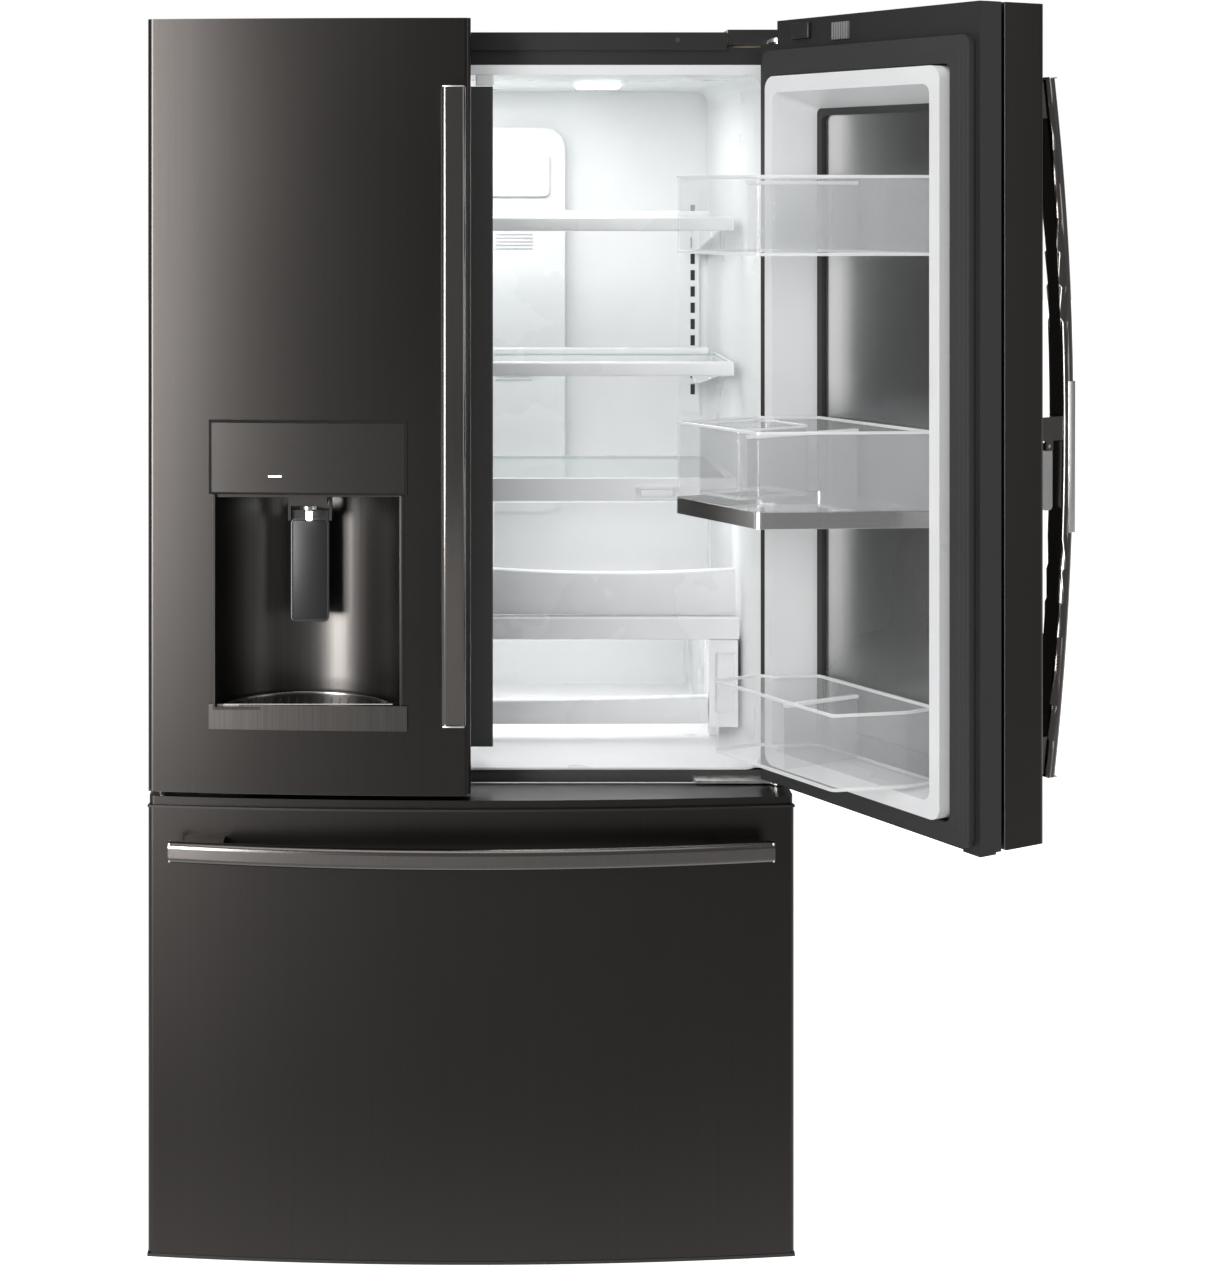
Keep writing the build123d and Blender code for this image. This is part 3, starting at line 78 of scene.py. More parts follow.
class NodeSheet:
    """A material's node tree with short calls for the nodes that the finishes share."""

    def __init__(self, name: str) -> None:
        """Makes an empty material with a shader and an output.

        Args:
            name: The material's name.
        """
        self.material = bpy.data.materials.new(name)
        self.material.use_nodes = True
        self.tree = self.material.node_tree
        self.shader = next(n for n in self.tree.nodes if n.type == "BSDF_PRINCIPLED")
        self.coords = self.tree.nodes.new("ShaderNodeTexCoord")

    def setting(self, **values: object) -> None:
        """Sets the shader's own sockets, with underscores for the spaces in their names."""
        for name, value in values.items():
            self.shader.inputs[name.replace("_", " ")].default_value = value

    def link(self, source: bpy.types.NodeSocket, target: bpy.types.NodeSocket) -> None:
        """Joins two sockets."""
        self.tree.links.new(source, target)

    def stretched(self, scale: Point) -> bpy.types.NodeSocket:
        """Returns object coordinates stretched by a scale on each axis."""
        mapping = self.tree.nodes.new("ShaderNodeMapping")
        mapping.inputs["Scale"].default_value = scale
        self.link(self.coords.outputs["Object"], mapping.inputs["Vector"])
        return mapping.outputs["Vector"]

    def noise(self, scale: Point, detail: float = 3.0, rough: float = 0.6) -> bpy.types.NodeSocket:
        """Adds a noise pattern.

        Args:
            scale: Waves per metre along each axis.
            detail: Octaves of finer noise.
            rough: Strength of the finer octaves.

        Returns:
            The pattern's value socket.
        """
        node = self.tree.nodes.new("ShaderNodeTexNoise")
        node.inputs["Scale"].default_value = 1.0
        node.inputs["Detail"].default_value = detail
        node.inputs["Roughness"].default_value = rough
        self.link(self.stretched(scale), node.inputs["Vector"])
        return node.outputs["Fac"]

    def cells(self, scale: float) -> bpy.types.NodeSocket:
        """Adds a cell pattern for leather-like grain and returns its distance socket."""
        node = self.tree.nodes.new("ShaderNodeTexVoronoi")
        node.inputs["Scale"].default_value = 1.0
        self.link(self.stretched((scale, scale, scale)), node.inputs["Vector"])
        return node.outputs["Distance"]

    def ramp(self, source: bpy.types.NodeSocket, range_in: Span, range_out: Span, socket: str) -> None:
        """Maps a value from one range to another and feeds a socket of the shader.

        Args:
            source: The value.
            range_in: The values that start and end the ramp.
            range_out: What they become.
            socket: The shader's socket.
        """
        node = self.tree.nodes.new("ShaderNodeMapRange")
        for name, value in zip(("From Min", "From Max", "To Min", "To Max"), (*range_in, *range_out)):
            node.inputs[name].default_value = value
        self.link(source, node.inputs["Value"])
        self.link(node.outputs["Result"], self.shader.inputs[socket])

    def roughen(self, source: bpy.types.NodeSocket, low: float, high: float) -> None:
        """Makes the surface's roughness follow a pattern between two values."""
        self.ramp(source, MIDDLE_RANGE, (low, high), "Roughness")

    def tint(self, source: bpy.types.NodeSocket, colour: Sequence[float], dark: float, light: float) -> None:
        """Colours the surface by a pattern, from a darker to a lighter shade of one colour.

        Args:
            source: The pattern.
            colour: The colour to shade.
            dark: Factor of the darker shade.
            light: Factor of the lighter shade.
        """
        ramp = self.tree.nodes.new("ShaderNodeValToRGB")
        for element, place, factor in zip(ramp.color_ramp.elements, MIDDLE_RANGE, (dark, light)):
            element.position = place
            element.color = (*(min(1.0, part * factor) for part in colour), 1.0)
        self.link(source, ramp.inputs["Fac"])
        self.link(ramp.outputs["Color"], self.shader.inputs["Base Color"])

    def bump(self, source: bpy.types.NodeSocket, strength: float, depth: float) -> None:
        """Raises the surface by a pattern.

        Args:
            source: The height pattern.
            strength: How much the normals follow it.
            depth: The relief's depth in metres.
        """
        node = self.tree.nodes.new("ShaderNodeBump")
        node.inputs["Strength"].default_value = strength
        node.inputs["Distance"].default_value = depth
        self.link(source, node.inputs["Height"])
        self.link(node.outputs["Normal"], self.shader.inputs["Normal"])


@dataclass(frozen=True)
class Finish:
    """What every finish has: its name, its material slot in the record and its colour."""

    name: str
    slot: str
    colour: Point

    def build(self) -> bpy.types.Material:
        """Returns the finish as a material."""
        raise NotImplementedError


@dataclass(frozen=True)
class BrushedSteel(Finish):
    """Sheet metal with fine parallel scratches."""

    roughness: float
    grain: Grain = Grain.UPRIGHT
    contrast: float = 0.05

    def build(self) -> bpy.types.Material:
        """Returns the finish as a material."""
        sheet = NodeSheet(self.name)
        streaks = sheet.noise(self.grain.value, detail=4.0, rough=0.7)
        clouds = sheet.noise((1.6, 1.6, 0.9), detail=2.0)
        sheet.tint(streaks, self.colour, 1 - self.contrast, 1 + self.contrast)
        sheet.roughen(clouds, self.roughness - 0.03, self.roughness + 0.03)
        sheet.bump(streaks, 0.12, 0.0002)
        sheet.setting(Metallic=1.0)
        return sheet.material


@dataclass(frozen=True)
class Moulded(Finish):
    """Moulded plastic or rubber with a fine grain."""

    roughness: float
    grain_scale: float = 900.0
    relief: float = 0.00005
    coat: float = 0.0
    shine: float = 0.5

    def build(self) -> bpy.types.Material:
        """Returns the finish as a material."""
        sheet = NodeSheet(self.name)
        grain = sheet.cells(self.grain_scale)
        clouds = sheet.noise((5.0, 5.0, 5.0), detail=3.0)
        sheet.tint(clouds, self.colour, 0.97, 1.03)
        sheet.roughen(clouds, self.roughness - 0.04, self.roughness + 0.04)
        sheet.bump(grain, 0.25, self.relief)
        sheet.setting(Coat_Weight=self.coat, Specular_IOR_Level=self.shine)
        return sheet.material


@dataclass(frozen=True)
class Clear(Finish):
    """Clear plastic or glass, seen through, with a faint tint and a little haze."""

    alpha: float = 0.2
    roughness: float = 0.06

    def build(self) -> bpy.types.Material:
        """Returns the finish as a material."""
        sheet = NodeSheet(self.name)
        haze = sheet.noise((7.0, 7.0, 7.0), detail=3.0)
        sheet.tint(haze, self.colour, 0.98, 1.0)
        sheet.roughen(haze, self.roughness * 0.6, self.roughness * 1.4)
        sheet.setting(Alpha=self.alpha, IOR=1.5)
        return sheet.material


@dataclass(frozen=True)
class Painted(Finish):
    """Sprayed paint with a light orange peel."""

    roughness: float

    def build(self) -> bpy.types.Material:
        """Returns the finish as a material."""
        sheet = NodeSheet(self.name)
        peel = sheet.noise((260.0, 260.0, 260.0), detail=2.0)
        clouds = sheet.noise((3.0, 3.0, 3.0))
        sheet.tint(clouds, self.colour, 0.95, 1.05)
        sheet.roughen(clouds, self.roughness - 0.04, self.roughness + 0.04)
        sheet.bump(peel, 0.18, 0.0002)
        return sheet.material


@dataclass(frozen=True)
class Metal(Finish):
    """Plated or polished metal with faint scuffs."""

    roughness: float

    def build(self) -> bpy.types.Material:
        """Returns the finish as a material."""
        sheet = NodeSheet(self.name)
        scuffs = sheet.noise((90.0, 90.0, 90.0), detail=5.0)
        sheet.tint(scuffs, self.colour, 0.93, 1.04)
        sheet.roughen(scuffs, self.roughness * 0.8, self.roughness * 1.3)
        sheet.bump(scuffs, 0.05, 0.0001)
        sheet.setting(Metallic=1.0)
        return sheet.material


@dataclass(frozen=True)
class Glow(Finish):
    """A lit lens."""

    power: float

    def build(self) -> bpy.types.Material:
        """Returns the finish as a material."""
        sheet = NodeSheet(self.name)
        frosting = sheet.noise((400.0, 400.0, 400.0))
        sheet.tint(frosting, self.colour, 0.95, 1.0)
        sheet.setting(Roughness=0.4, Emission_Color=(*self.colour, 1.0), Emission_Strength=self.power)
        return sheet.material


@dataclass(frozen=True)
class PaleFloor(Finish):
    """A pale floor whose far part glows like a lit white sweep."""

    power: float
    fade: Span

    def build(self) -> bpy.types.Material:
        """Returns the finish as a material."""
        sheet = NodeSheet(self.name)
        sheet.tint(sheet.noise((2.0, 2.0, 2.0)), self.colour, 0.99, 1.0)
        place = sheet.tree.nodes.new("ShaderNodeSeparateXYZ")
        sheet.link(sheet.coords.outputs["Object"], place.inputs[0])
        sheet.ramp(place.outputs["Y"], self.fade, (0.0, self.power), "Emission Strength")
        sheet.setting(Roughness=0.8, Emission_Color=(1.0, 1.0, 1.0, 1.0), Specular_IOR_Level=0.1)
        return sheet.material


class Palette:
    """Every finish on the refrigerator. Each material is made once and shared."""

    BLACK_STEEL = BrushedSteel("black_steel", "dark_steel", (0.031, 0.0285, 0.027), 0.3)
    PANEL_STEEL = BrushedSteel("panel_steel", "gloss_black", (0.042, 0.039, 0.037), 0.3, Grain.ACROSS)
    ALCOVE_STEEL = BrushedSteel("alcove_steel", "dark_steel", (0.06, 0.056, 0.053), 0.34, contrast=0.16)
    # Handle steel is the black steel's colour made about four times lighter; the extra lightness is painted
    # sheen standing for the handles' highlight.
    HANDLE_STEEL_WITH_SHEEN = BrushedSteel("handle_steel_with_sheen", "dark_handle", (0.12, 0.112, 0.106), 0.2)
    SIDE_PAINT = Painted("side_paint", "side_steel", (0.02, 0.0195, 0.019), 0.42)
    RAIL_PAINT = Painted("rail_paint", "side_steel", (0.012, 0.0115, 0.011), 0.6)
    BRIGHT_STEEL = BrushedSteel("bright_steel", "bright_steel", (0.3, 0.3, 0.3), 0.26)
    FRAME_DARK = Moulded(
        "frame_dark", "frame_plastic", (0.014, 0.0135, 0.013), 0.45, relief=0.0001, shine=0.3
    )
    SILVER = BrushedSteel("silver_trim", "bright_steel", (0.42, 0.415, 0.41), 0.26, Grain.ACROSS)
    LINER = Moulded("liner_white", "white_liner", (0.8, 0.805, 0.81), 0.3, 60.0, 0.00003)
    WHITE_TRIM = Moulded("trim_white", "white_liner", (0.8, 0.81, 0.815), 0.28)
    GREY_FLANGE = Moulded("flange_grey", "white_liner", (0.62, 0.63, 0.64), 0.4)
    GRIP_GREY = Moulded("grip_grey", "white_liner", (0.2, 0.203, 0.206), 0.5)
    FOAM = Moulded("foam", "insulation", (0.75, 0.66, 0.45), 0.9, 240.0, 0.0008)
    BLACK = Moulded("black_plastic", "black_plastic", (0.02, 0.02, 0.021), 0.45, 1400.0, 0.0001)
    CHARCOAL = Moulded(
        "charcoal_plastic", "black_plastic", (0.014, 0.0135, 0.013), 0.42, 1400.0, 0.0001, shine=0.3
    )
    STRIP = Moulded("strip_plastic", "black_plastic", (0.036, 0.0355, 0.034), 0.4, 1400.0, 0.0001)
    GLOSS = Moulded("gloss_black", "gloss_black", (0.012, 0.011, 0.01), 0.1, 200.0, 0.00001, 0.6)
    RUBBER = Moulded("gasket_rubber", "gasket", (0.02, 0.02, 0.0205), 0.6, 700.0, 0.0002, shine=0.3)
    CLEAR = Clear("clear_plastic", "clear_plastic", (0.9, 0.925, 0.93), 0.15)
    RIM = Clear("clear_rim", "clear_plastic", (0.95, 0.96, 0.965), 0.62, 0.1)
    GLASS = Clear("shelf_glass", "shelf_glass", (0.78, 0.87, 0.85), 0.22, 0.03)
    ZINC = Metal("zinc", "zinc", (0.66, 0.65, 0.63), 0.32)
    STEEL = Metal("galvanised", "galvanised", (0.55, 0.56, 0.57), 0.45)
    FINS = Metal("fins", "coil", (0.75, 0.76, 0.77), 0.35)
    COPPER = Metal("copper", "copper", (0.78, 0.42, 0.27), 0.3)
    COMPRESSOR = Painted("compressor_black", "compressor_paint", (0.012, 0.012, 0.012), 0.35)
    LAMP = Glow("lamp", "lens", (0.93, 0.97, 1.0), 6.0)
    FLOOR = PaleFloor("pale_floor", "white_liner", (0.8, 0.8, 0.8), 1.05, (-1.1, -0.4))
    BEAM = Glow("dispenser_light", "lens", (0.85, 0.93, 1.0), 9.0)

    _made: dict[str, bpy.types.Material] = {}

    @classmethod
    def of(cls, finish: Finish) -> bpy.types.Material:
        """Returns the material of a finish, made on first use."""
        if finish.name not in cls._made:
            cls._made[finish.name] = finish.build()
        return cls._made[finish.name]


def paint_node(node: str, finish: Finish) -> None:
    """Gives a CAD node one finish on all its material slots."""
    piece = frame["nodes"][node]
    material = Palette.of(finish)
    if not piece.material_slots:
        piece.data.materials.append(material)
    for slot in piece.material_slots:
        slot.material = material


def paint_nodes(finishes: dict[Finish, Sequence[str]]) -> None:
    """Gives each finish to the CAD nodes listed under it."""
    for finish, nodes in finishes.items():
        for node in nodes:
            paint_node(node, finish)


@dataclass(frozen=True)
class Pose:
    """Where a sub-assembly built in its closed position stands at rest."""

    pivot: Point = (0.0, 0.0, 0.0)
    angle: float = 0.0

    @classmethod
    def of_joint(cls, name: str) -> "Pose":
        """Reads how far open the door stands from its joint's low limit."""
        joint = next(j for j in frame["joints"] if j["name"] == name)
        return cls(tuple(joint["pos_m"]), math.radians(-joint["range_deg"][0]))

    @property
    def matrix(self) -> Matrix:
        """The turn from the closed position to the rest position."""
        there = Matrix.Translation(Vector(self.pivot))
        return there @ Matrix.Rotation(self.angle, 4, "Z") @ there.inverted()

    def box(self, node: str) -> Box:
        """Returns a CAD node's box in the closed position."""
        if not self.angle:
            low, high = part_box(node)
            return tuple(low), tuple(high)
        back = self.matrix.inverted()
        points = [back @ v.co for v in frame["nodes"][node].data.vertices]
        low = tuple(min(p[i] for p in points) for i in range(3))
        high = tuple(max(p[i] for p in points) for i in range(3))
        return low, high


@dataclass(frozen=True)
class Bow:
    """The one arc in plan that the doors and the drawer share."""

    half: float
    depth: float
    crown: float

    @property
    def radius(self) -> float:
        """The arc's radius."""
        return (self.half**2 + self.depth**2) / (2 * self.depth)

    def y(self, x: float, inset: float = 0.0) -> float:
        """Returns the face's Y at x, or that of a face an inset behind it."""
        return self.crown + self.radius - math.sqrt(self.radius**2 - x**2) + inset


class Maker:
    """Builds meshes and puts each one on its body with its finish."""

    def __init__(self, prefix: str, body: str, pose: Pose = Pose()) -> None:
        """Sets what every piece of a sub-assembly shares.

        Args:
            prefix: Start of each piece's name.
            body: The CAD body that the pieces ride on.
            pose: How the pieces turn from closed to rest.
        """
        self.prefix = prefix
        self.body = body
        self.pose = pose

    def add(self, name: str, mesh: bmesh.types.BMesh, finish: Finish) -> None:
        """Turns a mesh into a piece on the body.

        Args:
            name: The piece's own name, after the prefix.
            mesh: The mesh, in the closed position. It is freed.
            finish: The finish of the whole piece.
        """
        bmesh.ops.remove_doubles(mesh, verts=mesh.verts, dist=1e-6)
        bmesh.ops.recalc_face_normals(mesh, faces=mesh.faces)
        bmesh.ops.transform(mesh, matrix=self.pose.matrix, verts=mesh.verts)
        data = bpy.data.meshes.new(f"{self.prefix}_{name}")
        mesh.to_mesh(data)
        mesh.free()
        data.shade_smooth()
        data.set_sharp_from_angle(angle=SMOOTH_BELOW)
        data.materials.append(Palette.of(finish))
        piece = bpy.data.objects.new(data.name, data)
        bpy.context.scene.collection.objects.link(piece)
        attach(piece, self.body)
        LOG.info("%s on %s", piece.name, self.body)

    def blocks(
        self, name: str, boxes: Iterable[Box], finish: Finish, radius: float = 0.001, steps: int = 2
    ) -> None:
        """Adds boxes with rounded edges as one piece.

        Args:
            name: The piece's own name.
            boxes: The lowest and the highest corner of each box.
            finish: The finish of them all.
            radius: The edges' radius.
            steps: Facets round each edge.
        """
        self.add(name, joined(rounded_box(low, high, radius, steps) for low, high in boxes), finish)


def joined(parts: Iterable[bmesh.types.BMesh]) -> bmesh.types.BMesh:
    """Returns several meshes as one, and frees them."""
    whole = bmesh.new()
    for part in parts:
        scratch = bpy.data.meshes.new("scratch")
        part.to_mesh(scratch)
        part.free()
        whole.from_mesh(scratch)
        bpy.data.meshes.remove(scratch)
    return whole


def circle(mesh: bmesh.types.BMesh, radius: float, height: float, sides: int) -> Ring:
    """Adds a ring of points round the Z axis at a height, and returns it."""
    angles = [2 * math.pi * k / sides for k in range(sides)]
    return [mesh.verts.new((radius * math.cos(a), radius * math.sin(a), height)) for a in angles]


def skin(mesh: bmesh.types.BMesh, rings: Sequence[Ring], closed: bool = False) -> None:
    """Joins rings of points with faces.

    Args:
        mesh: The mesh that holds the rings.
        rings: The rings, all of the same length.
        closed: Whether the last ring joins the first. If not, both ends get a lid.
    """
    count = len(rings[0])
    pairs = zip(rings, [*rings[1:], rings[0]] if closed else rings[1:])
    for lower, upper in pairs:
        for k in range(count):
            mesh.faces.new((lower[k], lower[(k + 1) % count], upper[(k + 1) % count], upper[k]))
    if not closed:
        mesh.faces.new(rings[0][::-1])
        mesh.faces.new(rings[-1])


def aimed(at: Point | Vector, facing: Vector) -> Matrix:
    """Returns the move that takes the origin to a point and the Z axis to a direction."""
    return Matrix.Translation(at) @ facing.to_track_quat("Z", "Y").to_matrix().to_4x4()


def rounded_box(low: Point, high: Point, radius: float, steps: int = 3) -> bmesh.types.BMesh:
    """Makes a box with rounded edges.

    Args:
        low: The lowest corner.
        high: The highest corner.
        radius: The edges' radius, cut down where a side is too thin for it.
        steps: Facets round each edge.

    Returns:
        The mesh.
    """
    mesh = bmesh.new()
    size = [high[i] - low[i] for i in range(3)]
    middle = [(high[i] + low[i]) / 2 for i in range(3)]
    bmesh.ops.create_cube(mesh, size=1.0, matrix=Matrix.Translation(middle) @ Matrix.Diagonal((*size, 1.0)))
    width = min(radius, min(size) * CORNER_REACH)
    bmesh.ops.bevel(mesh, geom=mesh.edges[:], offset=width, segments=steps, profile=0.5, affect="EDGES")
    return mesh


def round_bar(start: Point, end: Point, radius: float, chamfer: float = 0.0005) -> bmesh.types.BMesh:
    """Makes a round bar with chamfered ends between two points."""
    a, b = Vector(start), Vector(end)
    length = (b - a).length
    mesh = bmesh.new()
    cut = min(chamfer, length * 0.3, radius * 0.4)
    profile = ((0, radius - cut), (cut, radius), (length - cut, radius), (length, radius - cut))
    skin(mesh, [circle(mesh, wide, height, 40) for height, wide in profile])
    bmesh.ops.transform(mesh, matrix=aimed(a, b - a), verts=mesh.verts)
    return mesh


def eased(before: Vector, corner: Vector, after: Vector, steps: int) -> list[Vector]:
    """Returns points on a curve from one point to another that bends towards a corner."""
    places = [k / steps for k in range(steps + 1)]
    return [before * (1 - t) ** 2 + corner * 2 * t * (1 - t) + after * t**2 for t in places]


def rounded_path(path: Sequence[Point], steps: int = 8) -> list[Vector]:
    """Returns the path with each inner corner replaced by a curve."""
    points = [Vector(p) for p in path]
    out = [points[0]]
    for before, corner, after in zip(points, points[1:], points[2:]):
        reach = min((corner - before).length, (after - corner).length) * CORNER_REACH
        start = corner + (before - corner).normalized() * reach
        end = corner + (after - corner).normalized() * reach
        out += eased(start, corner, end, steps)
    out.append(points[-1])
    return out


def pipe(path: Sequence[Point], radius: float, sides: int = 20) -> bmesh.types.BMesh:
    """Makes a pipe with flat ends along a path."""
    points = rounded_path(path)
    mesh = bmesh.new()
    rings = []
    steep = abs((points[1] - points[0]).normalized().z) >= 0.9
    across = Vector((1, 0, 0)) if steep else UP.copy()
    for index, point in enumerate(points):
        ahead = points[min(index + 1, len(points) - 1)] - points[max(index - 1, 0)]
        ahead.normalize()
        across = (across - ahead * across.dot(ahead)).normalized()
        up = ahead.cross(across)
        angles = [2 * math.pi * k / sides for k in range(sides)]
        around = [across * radius * math.cos(a) + up * radius * math.sin(a) for a in angles]
        rings.append([mesh.verts.new(point + offset) for offset in around])
    skin(mesh, rings)
    return mesh


def outline(x: Span, z: Span, radius: float, steps: int = 8) -> list[Span]:
    """Returns a rounded rectangle's points in the XZ plane."""
    points = []
    corners = ((x[1], z[1], 0), (x[0], z[1], 90), (x[0], z[0], 180), (x[1], z[0], 270))
    for cx, cz, start in corners:
        mx = cx - math.copysign(radius, cx - (x[0] + x[1]) / 2)
        mz = cz - math.copysign(radius, cz - (z[0] + z[1]) / 2)
        for k in range(steps + 1):
            angle = math.radians(start + 90 * k / steps)
            points.append((mx + radius * math.cos(angle), mz + radius * math.sin(angle)))
    return points


def frame_ring(x: Span, z: Span, radius: float, profile: Sequence[Span]) -> bmesh.types.BMesh:
    """Sweeps a profile round a rounded rectangle in the XZ plane.

    Args:
        x: The rectangle's sides.
        z: The rectangle's bottom and top.
        radius: Its corner radius.
        profile: Closed loop of (inset from the rectangle, Y).

    Returns:
        The mesh.
    """
    mesh = bmesh.new()
    loops = []
    for inset, y in profile:
        corner = max(radius - inset, 0.0005)
        points = outline((x[0] + inset, x[1] - inset), (z[0] + inset, z[1] - inset), corner)
        loops.append([mesh.verts.new((px, y, pz)) for px, pz in points])
    skin(mesh, loops, closed=True)
    return mesh


def bowed_strip(bow: Bow, x: Span, z: Span, inset: Span, edge: float = 0.0008) -> bmesh.types.BMesh:
    """Makes a plate that follows the bowed face.

    Args:
        bow: The shared arc.
        x: The plate's sides.
        z: The plate's bottom and top.
        inset: Its front and back, measured behind the face.
        edge: The width of the bevel round it.

    Returns:
        The mesh.
    """
    mesh = bmesh.new()
    loop = [(px, bow.y(px, inset[0])) for px in spread_out(x[0], x[1], 24)]
    loop += [(px, bow.y(px, inset[1])) for px in spread_out(x[1], x[0], 24)]
    skin(mesh, [[mesh.verts.new((px, py, height)) for px, py in loop] for height in z])
    sharp = [e for e in mesh.edges if e.calc_face_angle(0) > math.radians(50)]
    bmesh.ops.bevel(mesh, geom=sharp, offset=edge, segments=2, profile=0.5, affect="EDGES")
    return mesh


def rounded_loop(corners: Sequence[Span], radius: float, steps: int = 5) -> list[Vector]:
    """Returns a closed outline in plan with each corner rounded."""
    points = [Vector(corner) for corner in corners]
    loop = []
    for index, corner in enumerate(points):
        before, after = points[index - 1], points[(index + 1) % len(points)]
        start = corner + (before - corner).normalized() * radius
        end = corner + (after - corner).normalized() * radius
        loop += eased(start, corner, end, steps)
    return loop


def wall_band(loop: Sequence[Vector], z: Span, outer: float, inner: float) -> bmesh.types.BMesh:
    """Makes a band that follows an outline in plan.

    Args:
        loop: The outline, anticlockwise or clockwise.
        z: The band's bottom and top.
        outer: How far it reaches outside the outline.
        inner: How far it reaches inside.

    Returns:
        The mesh.
    """
    mesh = bmesh.new()
    area = sum(a.x * b.y - b.x * a.y for a, b in zip(loop, [*loop[1:], loop[0]]))
    sign = 1 if area > 0 else -1
    soft = min(0.0006, (z[1] - z[0]) / 4)
    shoulder = z[1] - soft
    outside = ((outer, z[0]), (outer, shoulder), (outer - soft, z[1]))
    inside = ((-inner + soft, z[1]), (-inner, shoulder), (-inner, z[0]))
    rows = []
    for index, point in enumerate(loop):
        ahead = (loop[(index + 1) % len(loop)] - loop[index - 1]).normalized()
        away = Vector((ahead.y, -ahead.x)) * sign
        profile = [(*(point + away * reach), height) for reach, height in outside + inside]
        rows.append([mesh.verts.new(place) for place in profile])
    skin(mesh, rows, closed=True)
    return mesh


def spread_out(start: float, end: float, steps: int) -> list[float]:
    """Returns evenly spaced values from start to end."""
    return [start + (end - start) * k / steps for k in range(steps + 1)]


def dome_screw(at: Point, radius: float, height: float, facing: Vector) -> bmesh.types.BMesh:
    """Makes a pan head screw with a cross recess, facing along a vector."""
    mesh = bmesh.new()
    angles = [math.radians(90 * step / 5) for step in range(5)]
    rings = [circle(mesh, radius, 0, 24)]
    for angle in angles:
        rise = 0.35 + 0.65 * math.sin(angle)
        rings.append(circle(mesh, radius * math.cos(angle), height * rise, 24))
    skin(mesh, rings)
    bmesh.ops.transform(mesh, matrix=aimed(at, facing), verts=mesh.verts)
    return mesh


def cross_recess_painted_shade(at: Point, radius: float, facing: Vector) -> bmesh.types.BMesh:
    """Makes a black cross for a screw's head, painted shade standing for the recess."""
    long, short, deep = radius / 2, radius * 0.12, 0.0004
    arms = ((long, short, deep), (short, long, deep))
    cross = joined(rounded_box(tuple(-size for size in arm), arm, 0.0002, 1) for arm in arms)
    bmesh.ops.transform(cross, matrix=aimed(at, facing), verts=cross.verts)
    return cross


def screws(maker: Maker, name: str, places: Sequence[Point], radius: float, facing: Vector) -> None:
    """Adds plated screws, with black crosses on their heads as painted shade for the recesses.

    Args:
        maker: The sub-assembly's maker.
        name: The pieces' name.
        places: Where each head sits.
        radius: The heads' radius.
        facing: The way that the heads face.
    """
    height = radius * 0.5
    maker.add(name, joined(dome_screw(p, radius, height, facing) for p in places), Palette.ZINC)
    tips = [tuple(Vector(p) + facing * height * 0.97) for p in places]
    # The black crosses are painted shade for the screws' cross recesses.
    maker.add(f"{name}_recess", joined(cross_recess_painted_shade(p, radius, facing) for p in tips), Palette.BLACK)


